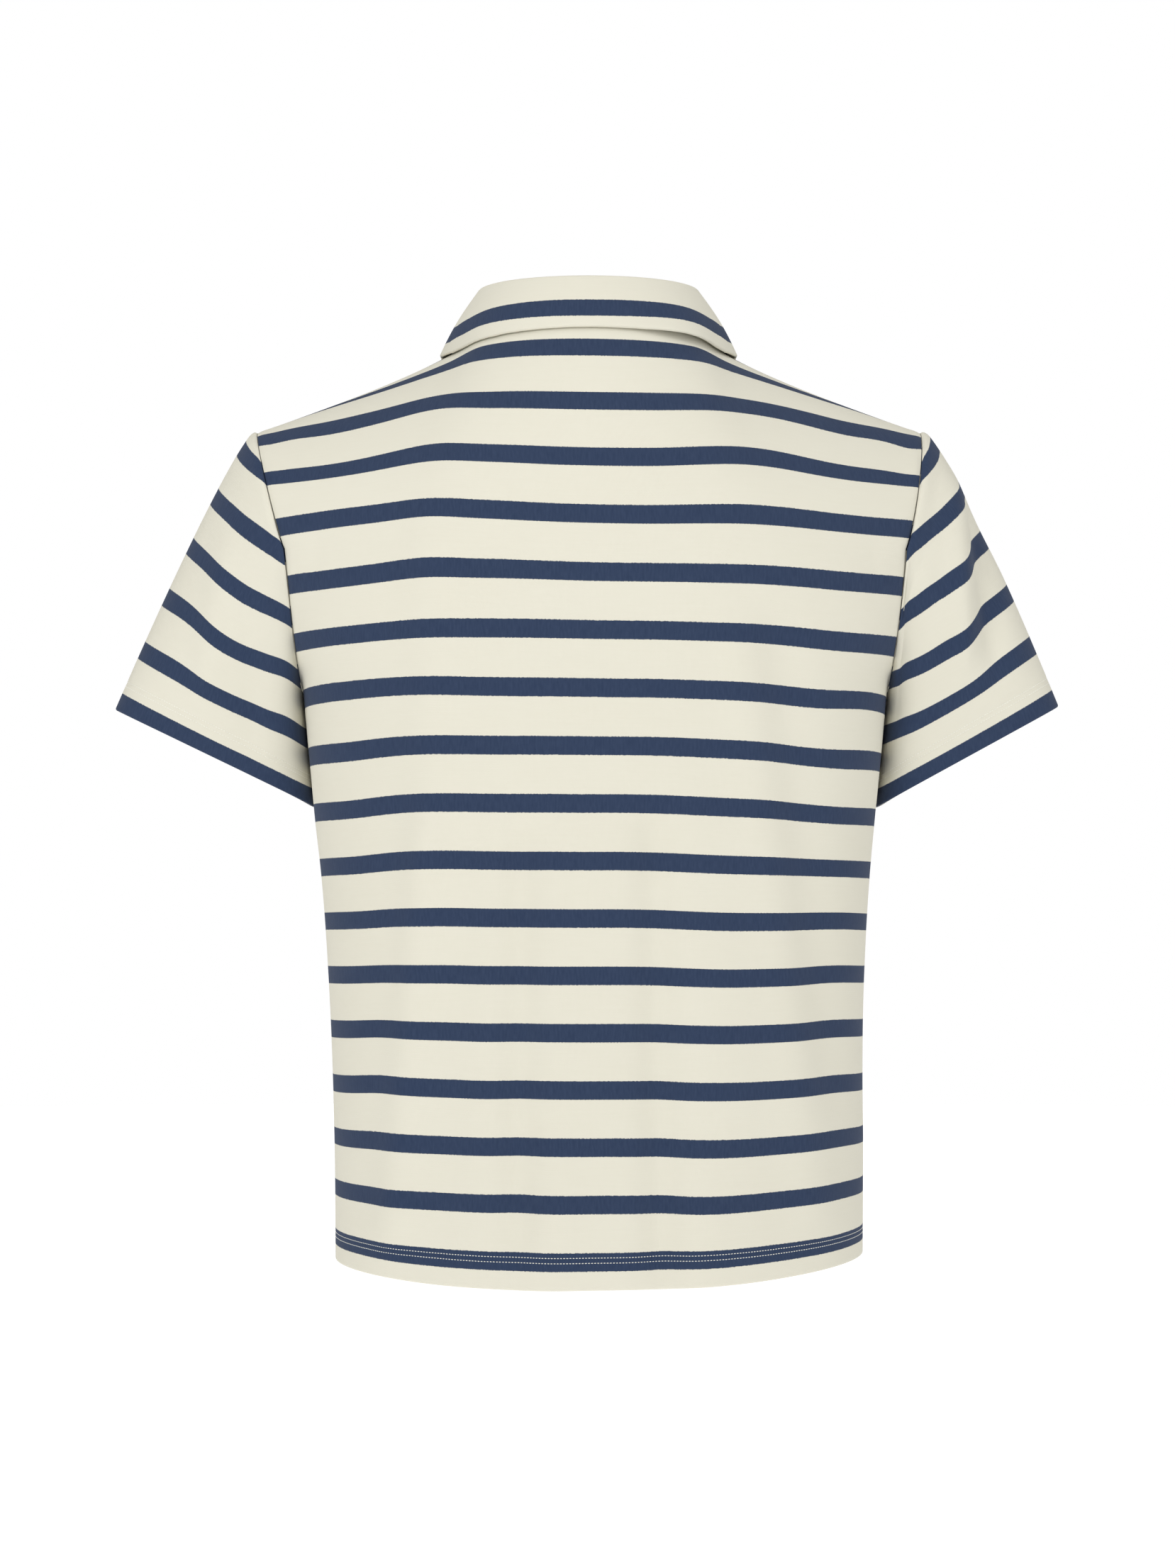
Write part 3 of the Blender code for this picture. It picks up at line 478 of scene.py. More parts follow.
FOLD_ENDS = 45.0         # a fold fades in and out over this height
FOLD_FROM_SIDE = 8.0     # and over this width beside a seam
print("folds:", len(FOLDS))


def fold_lift(name, grid):
    """How far the folds of one piece lift each of its points off its outer face."""
    lift = np.zeros(grid.shape[:2])
    for piece, top_x, top_z, low_x, low_z, width, rise in FOLDS:
        if piece == name:
            height = grid[..., 2]
            line = low_x + (top_x - low_x) * (height - low_z) / (top_z - low_z)
            into = np.clip((top_z - height) / FOLD_ENDS, 0, 1) * np.clip((height - low_z) / FOLD_ENDS, 0, 1)
            lift += rise * np.exp(-((grid[..., 0] - line) / width) ** 2) * np.sin(into * pi / 2) ** 2
    return lift


def add_folds(panel, grid):
    lift = fold_lift(panel, grid) * np.clip(from_edges(grid) / FOLD_FROM_SIDE, 0, 1)
    return grid + grid_normals(grid, OUTWARD[panel]) * lift[..., None]


# %% [markdown]
# The same folds pull the knit a little, so some stripes sag beside them. Each row of the next table
# is a place on a panel or a sleeve and how far its stripes hang below the level there. Painting the
# stripes askew would do the same, but the knit has to shift with them.

# %% Sag of the stripes
SAGS = (
    # piece, x, height, half its width, half its height, sag
    ("back", -152.0, -255.0, 46.0, 90.0, 6.0),
    ("back", 150.0, -290.0, 26.0, 70.0, 2.2),
    ("back", 96.0, -300.0, 30.0, 120.0, -1.0),
    ("back", 97.0, -95.0, 36.0, 60.0, -4.0),
    ("back", -97.0, -65.0, 40.0, 50.0, -3.5),
    ("back", -80.0, -45.0, 60.0, 110.0, -1.3),
    ("back", 90.0, -45.0, 22.0, 26.0, -2.8),
    ("back", -160.0, -60.0, 36.0, 26.0, 5.1),
    ("back", 160.0, -60.0, 36.0, 26.0, 4.2),
    ("back", 60.0, -90.0, 60.0, 110.0, -3.1),
    ("back", 150.0, -105.0, 36.0, 26.0, -2.6),
    ("back", 140.0, -210.0, 60.0, 26.0, -2.4),
    ("back", -160.0, -225.0, 22.0, 26.0, -2.4),
    ("back", -80.0, -330.0, 36.0, 110.0, 1.9),
    ("back", -150.0, -405.0, 22.0, 110.0, -1.3),
    ("back", 120.0, -435.0, 22.0, 50.0, -1.8),
    ("back", -80.0, -495.0, 36.0, 50.0, 1.2),
    ("back", 196.0, -64.0, 16.0, 14.0, 5.0),
    ("back", -196.0, -66.0, 18.0, 16.0, 8.0),
    ("sleeve_left", 188.0, -60.0, 20.0, 26.0, 4.4),
    ("sleeve_left", 188.0, -90.0, 20.0, 26.0, -2.2),
    ("sleeve_left", 204.0, -140.0, 12.0, 44.0, 0.9),
    ("sleeve_left", 244.0, -150.0, 20.0, 44.0, -2.3),
    ("sleeve_left", 212.0, -180.0, 20.0, 26.0, 1.8),
    ("sleeve_left", 180.0, -210.0, 12.0, 44.0, -3.2),
    ("sleeve_right", -188.0, -60.0, 20.0, 26.0, 4.9),
    ("sleeve_right", -228.0, -100.0, 32.0, 44.0, -2.9),
    ("sleeve_right", -260.0, -180.0, 20.0, 44.0, -1.7),
    ("sleeve_right", -212.0, -190.0, 32.0, 26.0, 2.1),
    ("sleeve_right", -180.0, -230.0, 12.0, 44.0, -4.2),
)


def add_sags(name, grid, up):
    up = up.copy()
    for piece, x, height, half_width, half_height, sag in SAGS:
        if piece == name:
            away = ((grid[..., 0] - x) / half_width) ** 2 + ((grid[..., 2] - height) / half_height) ** 2
            up += sag * np.exp(-away) * np.clip((up - HEM_TURN) / HEM_TURN, 0, 1)
    return up


for panel, (grid, up) in panels.items():
    panels[panel] = add_folds(panel, grid), add_sags(panel, grid, up)
print("sags:", len(SAGS), "up to", max(abs(row[-1]) for row in SAGS), "mm")

# %% [markdown]
# ## Seams and hem
#
# Two panels meet in a seam, and the cloth dips into it. The hem is turned up 20 mm and held by two
# rows of stitches, so it is thicker, its lower edge is a fold, and the outer face sinks a little
# along each row. A bump could hint at this, but it would vanish at the outline of the shirt.

# %% Make the back and the front
SEAM_DIP = 0.3
SEAM_WIDTH = 1.3
SEAM_RIDGE = 0.25        # the seam's turnings lift the cloth beside it
SEAM_RIDGE_AT = 5.0
SEAM_RIDGE_WIDTH = 3.0
STITCH_ROWS = (16.0, 19.0)                       # height of each row of hem stitches above the fold
STITCH_DIP = 0.22
STITCH_DIP_WIDTH = 0.9
PLACKET_HALF = 15.0
PLACKET_LENGTH = 150.0


def seam_dip(distance):
    ridge = SEAM_RIDGE * np.exp(-((distance - SEAM_RIDGE_AT) / SEAM_RIDGE_WIDTH) ** 2)
    return SEAM_DIP * np.exp(-(distance / SEAM_WIDTH) ** 2) - ridge


def stitch_dip(up):
    return sum(STITCH_DIP * np.exp(-((up - row) / STITCH_DIP_WIDTH) ** 2) for row in STITCH_ROWS)


def shoulder_columns(grid):
    count = grid.shape[1]
    return [column for column in range(count) if abs(column - MIDDLE) >= SHOULDER_COLUMN]


def seam_distance(grid):
    """How far each point is from the panel's side seam, armhole or shoulder seam."""
    down = lengths(grid[::-1], 0)[::-1]
    distance = from_edges(grid)
    seam = shoulder_columns(grid)
    distance[:, seam] = np.minimum(distance[:, seam], down[:, seam])
    return distance


def hem_thickness(up, thin, thick):
    part = np.clip((up - HEM_TURN) / HEM_STEP, 0, 1)
    return thick + (thin - thick) * part


def cut_for_placket(grid):
    """Bring two columns to the placket's edges and drop the cells between them."""
    foot = grid[-1, MIDDLE, 2] - PLACKET_LENGTH
    first = int(np.argmin(np.abs(grid[:, MIDDLE, 2] - foot)))
    inside = np.abs(grid[-1, :, 0]) < PLACKET_HALF + SEAM_GAP
    left, right = np.nonzero(inside)[0][[0, -1]]
    keep = np.ones((grid.shape[0] - 1, grid.shape[1] - 1), dtype=bool)
    keep[first:, left:right] = False
    for column, side in ((left, -1), (right, 1)):
        grid[first:, column, 0] = side * (PLACKET_HALF + SEAM_GAP)
    grid[first, left:right + 1, 2] = foot
    return keep


sewn_faces = {}          # each piece's outer face, its normals and its place up the cloth


def make_panel(panel):
    grid, up = panels[panel]
    grid = grid.copy()
    outward = OUTWARD[panel]
    keep = cut_for_placket(grid) if panel == "front" else None
    normals = grid_normals(grid, outward)
    seams = [(row, column) for row in range(UNDERARM_ROW + 1) for column in (0, -1)]
    seams += [(-1, column) for column in shoulder_columns(grid)]
    for row, column in seams:
        normals[row, column, 1] = 0
        normals[row, column] /= np.linalg.norm(normals[row, column])
        grid[row, column, 1] += SEAM_GAP / 2 * outward[1]
    across = lengths(grid, 1)
    across -= across[:, MIDDLE:MIDDLE + 1]
    dip = seam_dip(seam_distance(grid)) + stitch_dip(up)
    thickness = hem_thickness(up, JERSEY, HEM_CLOTH)
    grid = grid - normals * dip[..., None]
    sewn_faces[panel] = grid, normals, up
    return cloth_wall(panel, grid, normals, thickness, up, np.stack([across, up], axis=2), keep)


pieces = {panel: make_panel(panel) for panel in ("back", "front")}
for name, piece in pieces.items():
    print(name, len(piece.data.polygons), "faces")

# %% [markdown]
# ## Sleeves
#
# A set-in sleeve is a tube that starts at the armhole, springs out over the shoulder in a rounded
# head, and hangs down and slightly forward. Its hem is a flattened oval. Each point here moves in a
# nearly straight line from the armhole to the hem, plus a rise that shapes the head. Lofting between
# the two rings is the same thing by hand.

# %% Sleeve sizes
SLEEVE_COLUMNS = 168
SLEEVE_LENGTH = 150.0
SLEEVES = (
    # name, side, rise of its head, x and z of the outer corner of the hem, x and z of the inner corner
    ("sleeve_left", 1, 12.3, 293.0, -214.0, 169.0, -274.0),
    ("sleeve_right", -1, 15.0, 291.0, -212.0, 178.0, -274.0),
)
SLEEVE_HEM_Y = -25.0
SLEEVE_HEM_DEPTH = 40.0
SLEEVE_HEM_TILT = 0.6
SLEEVE_TO_BODY = 0.3
CAP_SHAPE = 0.35
CAP_SIDES = 60.0
SLEEVE_SQUARENESS = 0.65         # 1 makes the hem an ellipse, less flattens its back and front
SLEEVE_HEAD_PARTS = (0.0, 0.0015, 0.004, 0.008, 0.014, 0.022)    # rows close to the seam
SLEEVE_ROWS = 62                 # between them and the turned hem
SLEEVE_ROWS_FROM = 0.032
SLEEVE_ROWS_END = 0.012          # this share of the length above the turned hem
FOLD_FROM_HEAD = 18.0            # folds fade out this close to the sleeve head
SLEEVE_STRIPES_TOP = 0.935       # stripes are this much closer on top of the sleeve than behind it
SLEEVE_STRIPES_BACK = 1.02

# %% Make a sleeve
def sleeve_parts():
    """How far down the sleeve each row lies."""
    hem = 1 - np.array(HEM_ROWS) / SLEEVE_LENGTH
    rest = np.linspace(SLEEVE_ROWS_FROM, hem[-1] - SLEEVE_ROWS_END, SLEEVE_ROWS)
    return np.concatenate([SLEEVE_HEAD_PARTS, rest, hem[::-1]])


def sleeve_grid(side, head_rise, outer_x, outer_z, inner_x, inner_z):
    """Outer face from the armhole down, on the wearer's left side."""
    angle = np.arange(SLEEVE_COLUMNS) * 360.0 / SLEEVE_COLUMNS
    turn = np.radians(angle)[:, None]
    back = np.stack(armhole_point(np.minimum(angle, 180), "back"), axis=1)
    front = np.stack(armhole_point(np.minimum(360 - angle, 180), "front"), axis=1)
    start = np.where(angle[:, None] <= 180, back, front)
    start[:, 0] += SLEEVE_TO_BODY + side * at_height(2, start[:, 2])
    axis = np.array([(outer_x - inner_x) / 2, 0.0, (outer_z - inner_z) / 2])
    middle = np.array([(outer_x + inner_x) / 2, SLEEVE_HEM_Y, (outer_z + inner_z) / 2])
    wide = np.sign(np.cos(turn)) * np.abs(np.cos(turn)) ** SLEEVE_SQUARENESS
    deep = np.sign(np.sin(turn)) * np.abs(np.sin(turn)) ** SLEEVE_SQUARENESS
    end = middle + axis * wide + np.array([0, SLEEVE_HEM_DEPTH, -SLEEVE_HEM_TILT]) * deep
    run = end - start
    outward = np.stack([-run[:, 2], 0 * run[:, 2], run[:, 0]], axis=1) * np.cos(turn)
    outward[:, 1] = CAP_SIDES * np.sin(turn[:, 0])
    outward /= np.maximum(np.linalg.norm(outward, axis=1, keepdims=True), 1e-9)
    part = sleeve_parts()[:, None, None]
    rise = head_rise * (0.5 + 0.5 * np.cos(turn)) * part ** CAP_SHAPE * (1 - part)
    grid = start + run * part + outward * rise
    return grid, angle


def fold_sleeve(name, grid, normals, mirror):
    off_seam = np.clip(lengths(grid, 0) / FOLD_FROM_HEAD, 0, 1) ** 2
    for face, towards in (("back", 1), ("front", -1)):
        facing = np.clip(2 * towards * normals[..., 1], 0, 1) * off_seam
        grid = grid + normals * (fold_lift(f"{name} {face}", grid * mirror) * facing)[..., None]
    return grid


def make_sleeve(name, side, *sizes):
    grid, angle = sleeve_grid(side, *sizes)
    mirror = np.array([side, 1, 1])
    normals = grid_normals(grid, (-1, 0, 0), wrap=True)
    grid = fold_sleeve(name, grid, normals, mirror)
    normals = grid_normals(grid, (-1, 0, 0), wrap=True)
    down = lengths(grid, 0)
    up = down[-1:] - down
    top_share = np.abs((angle + 90) % 180 - 90) / 90
    stretch = SLEEVE_STRIPES_TOP + (SLEEVE_STRIPES_BACK - SLEEVE_STRIPES_TOP) * top_share
    around = np.concatenate([lengths(grid, 1), np.zeros((len(grid), 1))], axis=1)
    around[:, -1] = around[:, -2] + np.linalg.norm(grid[:, 0] - grid[:, -1], axis=1)
    cloth_up = add_sags(name, grid * mirror, up * stretch[None])
    cloth_uv = np.stack([around, np.concatenate([cloth_up, cloth_up[:, :1]], axis=1)], axis=2)
    thickness = hem_thickness(up, JERSEY, HEM_CLOTH)
    dip = seam_dip(down) + stitch_dip(up)
    under_arm = np.abs(angle - 180) / 360 * cloth_uv[:, -1:, 0]
    dip += SEAM_DIP * np.exp(-(under_arm / SEAM_WIDTH) ** 2) * np.clip(up / HEM_TURN, 0, 1)
    grid = (grid - normals * dip[..., None]) * mirror
    normals = normals * mirror
    sewn_faces[name] = grid, normals, up
    return cloth_wall(name, grid, normals, thickness, up, cloth_uv, wrap=True)


for row in SLEEVES:
    pieces[row[0]] = make_sleeve(*row)
    print(row[0], len(pieces[row[0]].data.polygons), "faces")

# %% [markdown]
# ## Collar
#
# The collar is one strip of the same jersey, folded along its length. Its stand rises from the
# neckline, and its fall turns over and lies round the neck. A section is worked out at each place
# round the neckline: up the stand, over the fold and down to the edge. The fall rests just clear of
# the body, so each point is moved out of the body where it would sink in, as a shrinkwrap would.

# %% Collar sizes
NECK_SHARE = 0.5
COLLAR_END_X = 3.0
FOLD_X = 64.0
FOLD_SIDE_Y = 10.0
FOLD_BACK_Y = 78.0
FOLD_BACK_Z = 32.0
FOLD_SIDE_Z = 38.6
FOLD_FRONT_Y = -49.0
FOLD_FRONT_Z = -44.0
FOLD_END_X = 4.0
FOLD_SCOOP = 1.25
FOLD_RADIUS = 2.8
STAND_LIFT = 1.0
EDGE_X = 89.0
EDGE_SIDE_Y = 8.0
EDGE_BACK_Y = 94.0
EDGE_BACK_Z = -0.6
EDGE_SIDE_Z = -4.0
EDGE_FRONT_Y = -112.0
EDGE_SWEEP = 1.4
EDGE_FALL = 1.5
POINT_X = 50.0
POINT_Z = -106.0
COLLAR_CLEAR = 2.5
COLLAR_BULGE = 1.6
COLLAR_LIFT = 3.4        # the fall stands away from the back a little, right of the middle
COLLAR_LIFT_X = -56.0
COLLAR_LIFT_WIDTH = 20.0
COLLAR_SAG = 9.3         # how much further the stripe lies from the fold at the sides than behind
COLLAR_SAG_BY = 0.425    # where that is reached, along half the collar
COLLAR_SAG_POWER = 2.6
COLLAR_SAG_FROM_FOLD = 16.0
FOLD_STEP = 0.01         # over which the fold's direction is read
STAND_STEPS = 12
ARC_STEPS = 10
FALL_PARTS = np.concatenate([np.linspace(0, 0.93, 24)[1:], (0.945, 0.96, 0.972, 0.982, 0.99, 0.996, 1.0)])
print("collar:", round(2 * FOLD_X), "mm across its fold,", round(2 * EDGE_X), "mm across its edge")

# %% [markdown]
# Three curves set the collar: the neckline that it is sewn to, the fold above it, and its free edge.
# Each is worked out on the wearer's left, from the middle of the back (0) to that of the front (1).

# %% Where the collar starts, folds and ends
def outer_surface():
    """Both panels as one surface that can say where its nearest point is."""
    points, faces = [], []
    for panel, (grid, _) in panels.items():
        start = len(points)
        rows, columns = grid.shape[:2]
        points += grid.reshape(-1, 3).tolist()
        for row in range(rows - 1):
            for column in range(columns - 1):
                corner = start + row * columns + column
                loop = [corner, corner + 1, corner + 1 + columns, corner + columns]
                faces.append(loop if panel == "front" else loop[::-1])
    return BVHTree.FromPolygons([Vector(point) for point in points], faces)


def neckline():
    """Seam point, upward and outward direction, from the middle of the back to that of the front."""
    places = []
    order = range(SHOULDER_COLUMN + 1)
    for panel, columns in (("back", order), ("front", reversed(order[:-1]))):
        grid = panels[panel][0]
        normals = grid_normals(grid, OUTWARD[panel])
        for column in columns:
            edge = grid[-1, MIDDLE + column]
            along = edge - grid[-1, MIDDLE + column - 1]
            upward = edge - grid[-2, MIDDLE + column]
            upward -= along * np.dot(upward, along) / np.dot(along, along)
            places.append((edge, upward / np.linalg.norm(upward), normals[-1, MIDDLE + column]))
    return places


def fold_point(half):
    if half <= NECK_SHARE:
        turn = pi / 2 * half / NECK_SHARE
        drop = (FOLD_SIDE_Z - FOLD_BACK_Z) * cos(turn)
        y = FOLD_SIDE_Y + (FOLD_BACK_Y - FOLD_SIDE_Y) * cos(turn)
        return np.array([FOLD_X * sin(turn), y, FOLD_SIDE_Z - drop])
    turn = pi / 2 * (1 - (half - NECK_SHARE) / (1 - NECK_SHARE))
    x = FOLD_END_X + (FOLD_X - FOLD_END_X) * sin(turn)
    drop = (FOLD_SIDE_Z - FOLD_FRONT_Z) * max(cos(turn), 0.0) ** FOLD_SCOOP
    return np.array([x, FOLD_SIDE_Y + (FOLD_FRONT_Y - FOLD_SIDE_Y) * cos(turn), FOLD_SIDE_Z - drop])


def edge_point(half):
    if half <= NECK_SHARE:
        turn = pi / 2 * half / NECK_SHARE
        drop = (EDGE_BACK_Z - EDGE_SIDE_Z) * (1 - cos(turn))
        y = EDGE_SIDE_Y + (EDGE_BACK_Y - EDGE_SIDE_Y) * cos(turn)
        return np.array([EDGE_X * sin(turn), y, EDGE_BACK_Z - drop])
    along = (half - NECK_SHARE) / (1 - NECK_SHARE)
    x = EDGE_X + (POINT_X - EDGE_X) * along ** EDGE_SWEEP
    z = EDGE_SIDE_Z + (POINT_Z - EDGE_SIDE_Z) * along ** EDGE_FALL
    return np.array([x, EDGE_SIDE_Y + (EDGE_FRONT_Y - EDGE_SIDE_Y) * sin(pi / 2 * along), z])


# %% Make the collar
def clear_of(surface, point, gap, rests=False):
    """Move a point out to a gap from the body, or also in to it where the cloth rests there."""
    place, normal, _, _ = surface.find_nearest(Vector(point))
    if rests or (Vector(point) - place).dot(normal) < gap:
        return np.array(place + normal * gap)
    return np.array(point)


def collar_section(half, place, surface):
    seam, onward, outward = place
    seam = np.array([max(seam[0], COLLAR_END_X * half ** 4), seam[1], seam[2]])
    fold, edge = fold_point(half), edge_point(half)
    run = fold_point(min(half + FOLD_STEP, 1.0)) - fold_point(max(half - FOLD_STEP, 0.0))
    if half < FOLD_STEP:
        run = np.array([1.0, 0.0, 0.0])
    run /= np.linalg.norm(run)
    up = fold - (seam + edge) / 2
    up -= run * np.dot(up, run)
    up /= np.linalg.norm(up)
    out = np.cross(run, up)
    if np.dot(out, edge - seam) < 0:
        out = -out
    centre = fold - up * FOLD_RADIUS
    foot = seam + onward * STAND_LIFT - outward * COLLAR_CLOTH
    points = [foot + (centre - out * FOLD_RADIUS - foot) * step / STAND_STEPS for step in range(STAND_STEPS)]
    for step in range(ARC_STEPS + 1):
        angle = pi * step / ARC_STEPS
        points.append(centre - out * FOLD_RADIUS * cos(angle) + up * FOLD_RADIUS * sin(angle))
    start = points[-1]
    edge = clear_of(surface, edge, COLLAR_CLEAR, rests=half <= NECK_SHARE)
    for part in FALL_PARTS:
        point = start + (edge - start) * part + out * COLLAR_BULGE * sin(pi * part)
        points.append(clear_of(surface, point, COLLAR_CLEAR))
    return points


def make_collar():
    surface = outer_surface()
    places = neckline()
    halves = np.linspace(0, 1, len(places))
    left = np.array([collar_section(half, place, surface) for half, place in zip(halves, places)])
    grid = np.concatenate([left[:0:-1] * (-1, 1, 1), left])
    normals = grid_normals(grid, (0, 0, 1))
    fold_step = STAND_STEPS + ARC_STEPS // 2
    if normals[len(grid) // 2, fold_step, 2] < 0:
        normals = -normals
    outward = np.array([place[2] for place in places])
    normals[:, 0] = -np.concatenate([outward[:0:-1] * (-1, 1, 1), outward])
    from_fold = lengths(grid, 1)
    down = from_fold - from_fold[:, fold_step:fold_step + 1]
    lift = COLLAR_LIFT * np.exp(-((grid[..., 0] - COLLAR_LIFT_X) / COLLAR_LIFT_WIDTH) ** 2)
    lift *= (grid[..., 1] > 0) * np.clip(down / down[:, -1:], 0, 1) ** 2
    grid += normals * lift[..., None]
    along = lengths(grid, 0)
    middle = len(grid) // 2
    along = along - along[middle:middle + 1]
    ends = np.minimum(lengths(grid, 0), lengths(grid[::-1], 0)[::-1])
    edge = np.minimum(from_fold[:, -1:] - from_fold, ends)
    thickness = np.full(grid.shape[:2], COLLAR_CLOTH)
    sewn_faces["collar"] = grid, normals, -down
    sag = COLLAR_SAG * np.minimum(halves / COLLAR_SAG_BY, 1) ** COLLAR_SAG_POWER
    sag = np.concatenate([sag[:0:-1], sag])[:, None] * np.clip(down / COLLAR_SAG_FROM_FOLD, 0, 1)
    up = sag - down
    return cloth_wall("collar", grid, normals, thickness, edge, np.stack([along, up], axis=2))


pieces["collar"] = make_collar()
print("collar", len(pieces["collar"].data.polygons), "faces")

# %% [markdown]
# ## Placket
#
# The front opens half way down behind two narrow strips. The upper strip lies on the front panel and
# the lower one fills the cut in it. Both are made from the panel's own points, moved out, so they
# follow its form and its stripes run on across them.

# %% Make the two strips
STRIP_CLOTH = 1.6
STRIP_OVERLAP = 1.5
STRIP_FOOT = 6.0
STRIP_COLUMNS = 26
STRIP_ENDS = (0.0, 0.2, 0.55, 1.1, 2.0)          # rows beside each end, in millimetres


def strip_rows(below):
    """Numbers of the panel's rows, with fractions, from the strip's foot to the neckline."""
    grid = panels["front"][0][:, MIDDLE, 2]
    last = len(grid) - 1
    start = float(np.interp(grid[-1] - PLACKET_LENGTH - below, grid, np.arange(len(grid))))
    foot_row = start + np.array(STRIP_ENDS) / (grid[int(start) + 1] - grid[int(start)])
    top_row = last - np.array(STRIP_ENDS) / (grid[-1] - grid[-2])
    between = np.arange(int(foot_row[-1]) + 1, int(top_row[-1]) + 1)
    return np.unique(np.concatenate([foot_row, between, top_row]))


def make_strip(name, half_width, below, lift, thick):
    grid, up = panels["front"]
    ends = rounded_columns(half_width)
    points, heights = [], []
    for number in strip_rows(below):
        low, share = int(number), number % 1
        high = min(low + 1, len(grid) - 1)
        row = grid[low] * (1 - share) + grid[high] * share
        points.append([[x, *(np.interp(x, row[:, 0], row[:, axis]) for axis in (1, 2))] for x in ends])
        row_up = up[low] * (1 - share) + up[high] * share
        heights.append(np.interp(ends, row[:, 0], row_up))
    points, heights = np.array(points), np.array(heights)
    normals = grid_normals(points, OUTWARD["front"])
    face = points + normals * lift
    down = lengths(face, 0)
    edge = np.minimum(from_edges(face), np.minimum(down, down[-1:] - down))
    across = np.broadcast_to(ends, heights.shape)
    sewn_faces[name] = face, normals, heights
    thickness = np.full(heights.shape, thick)
    return cloth_wall(name, face, normals, thickness, edge, np.stack([across, heights], axis=2))


def rounded_columns(half_width):
    """Places across a strip, closer together at its two folded edges."""
    beside = half_width - np.array(STRIP_ENDS)
    middle = np.linspace(-beside[-1], beside[-1], STRIP_COLUMNS)
    return np.unique(np.concatenate([-beside, middle, beside]).round(6))


pieces["placket_under"] = make_strip("placket_under", PLACKET_HALF, -SEAM_GAP, 0.0, JERSEY)
pieces["placket_over"] = make_strip("placket_over", PLACKET_HALF + STRIP_OVERLAP, STRIP_FOOT,
                                    SEAM_GAP + STRIP_CLOTH, STRIP_CLOTH)
print("placket:", PLACKET_LENGTH + STRIP_FOOT, "mm long")

# %% [markdown]
# ## Stitches
#
# A twin needle sews the hems, which leaves two rows of short dashes. Each dash is a small raised
# piece of thread. They could be a bump in the material, but up close they stand on the cloth and
# cast light and shade, so each is a little mesh, and all the dashes of one piece are joined.

# %% One function for every row of stitches
STITCH_PITCH = 1.8
STITCH_DASH = 1.15
THREAD_HALF = 0.22       # half the width of a thread
THREAD_RISE = 0.26
THREAD_SECTIONS = ((-0.5, 0.45, 0.1), (-0.3, 1.0, 1.0), (0.3, 1.0, 1.0), (0.5, 0.45, 0.1))
THREAD_SINK = 0.4        # share of its rise by which a thread lies in the cloth
CORNERS = 4              # of a thread's cross-section


def stitches(name, paths, pitch=STITCH_PITCH, dash=STITCH_DASH, half_width=THREAD_HALF):
    """Join short raised threads along paths; each path is its points and their outward normals."""
    points, faces = [], []
    last = CORNERS * (len(THREAD_SECTIONS) - 1)
    for path, outward in paths:
        along = np.concatenate([[0], np.cumsum(np.linalg.norm(np.diff(path, axis=0), axis=1))])
        for number in range(int(along[-1] / pitch)):
            places = (number + 0.5) * pitch + np.array([place for place, _, _ in THREAD_SECTIONS]) * dash
            centres = np.stack([np.interp(places, along, path[:, axis]) for axis in range(3)], axis=1)
            up = np.array([np.interp(places[1], along, outward[:, axis]) for axis in range(3)])
            up /= np.linalg.norm(up)
            side = np.cross(centres[-1] - centres[0], up)
            side /= np.linalg.norm(side)
            start = len(points)
            for centre, (_, wide, high) in zip(centres, THREAD_SECTIONS):
                points += [centre - side * half_width * wide, centre + up * THREAD_RISE * high,
                           centre + side * half_width * wide, centre - up * THREAD_RISE * THREAD_SINK]
            for this in range(start, start + last, CORNERS):
                for corner in range(CORNERS):
                    beside = (corner + 1) % CORNERS
                    beyond = this + CORNERS
                    faces.append([this + corner, this + beside, beyond + beside, beyond + corner])
            ends = list(range(start, start + CORNERS)), list(range(start + last, start + last + CORNERS))
            faces += [ends[0][::-1], ends[1]]
    return finish_mesh(name, np.array(points) * MM, faces)


def row_at(name, height):
    """Points and normals along a piece's outer face, this far above its hem."""
    grid, normals, up = sewn_faces[name]
    if up[0, 0] > up[-1, 0]:
        grid, normals, up = grid[::-1], normals[::-1], up[::-1]
    columns = list(range(grid.shape[1]))
    if name.startswith("sleeve"):
        columns.append(0)

    def read(values):
        return np.array([[np.interp(height, up[:, column], values[:, column, axis]) for axis in range(3)]
                         for column in columns])
    return read(grid), read(normals)


def strip_edge(x):
    """Points and normals up the upper strip of the placket, this far from its middle."""
    grid, normals, _ = sewn_faces["placket_over"]
    column = int(np.argmin(np.abs(grid[0, :, 0] - x)))
    return grid[2:-2, column], normals[2:-2, column]


# %% Sew the hems and the placket
PLACKET_STITCH = 2.2     # from the strip's edge
FOOT_STITCHES = (2.0, 8.0)       # height of the two rows across its foot
FOOT_INSIDE = 6          # columns at each side that those rows leave free
THREAD_FACES = CORNERS * (len(THREAD_SECTIONS) - 1) + 2
stitched = {name: [row_at(name, height) for height in STITCH_ROWS]
            for name in ("back", "front", "sleeve_left", "sleeve_right")}
strip_half = PLACKET_HALF + STRIP_OVERLAP
strip_face, strip_normals, _ = sewn_faces["placket_over"]
foot_rows = [int(np.argmin(np.abs(strip_face[:, 0, 2] - strip_face[0, 0, 2] - rise)))
             for rise in FOOT_STITCHES]
stitched["placket_over"] = [strip_edge(side * (strip_half - PLACKET_STITCH)) for side in (-1, 1)]
inside = slice(FOOT_INSIDE, -FOOT_INSIDE)
stitched["placket_over"] += [(strip_face[row, inside], strip_normals[row, inside]) for row in foot_rows]
threads = {}
for name, paths in stitched.items():
    threads[name] = stitches("stitches_" + name, paths)
    print(threads[name].name, len(threads[name].data.polygons) // THREAD_FACES, "stitches")

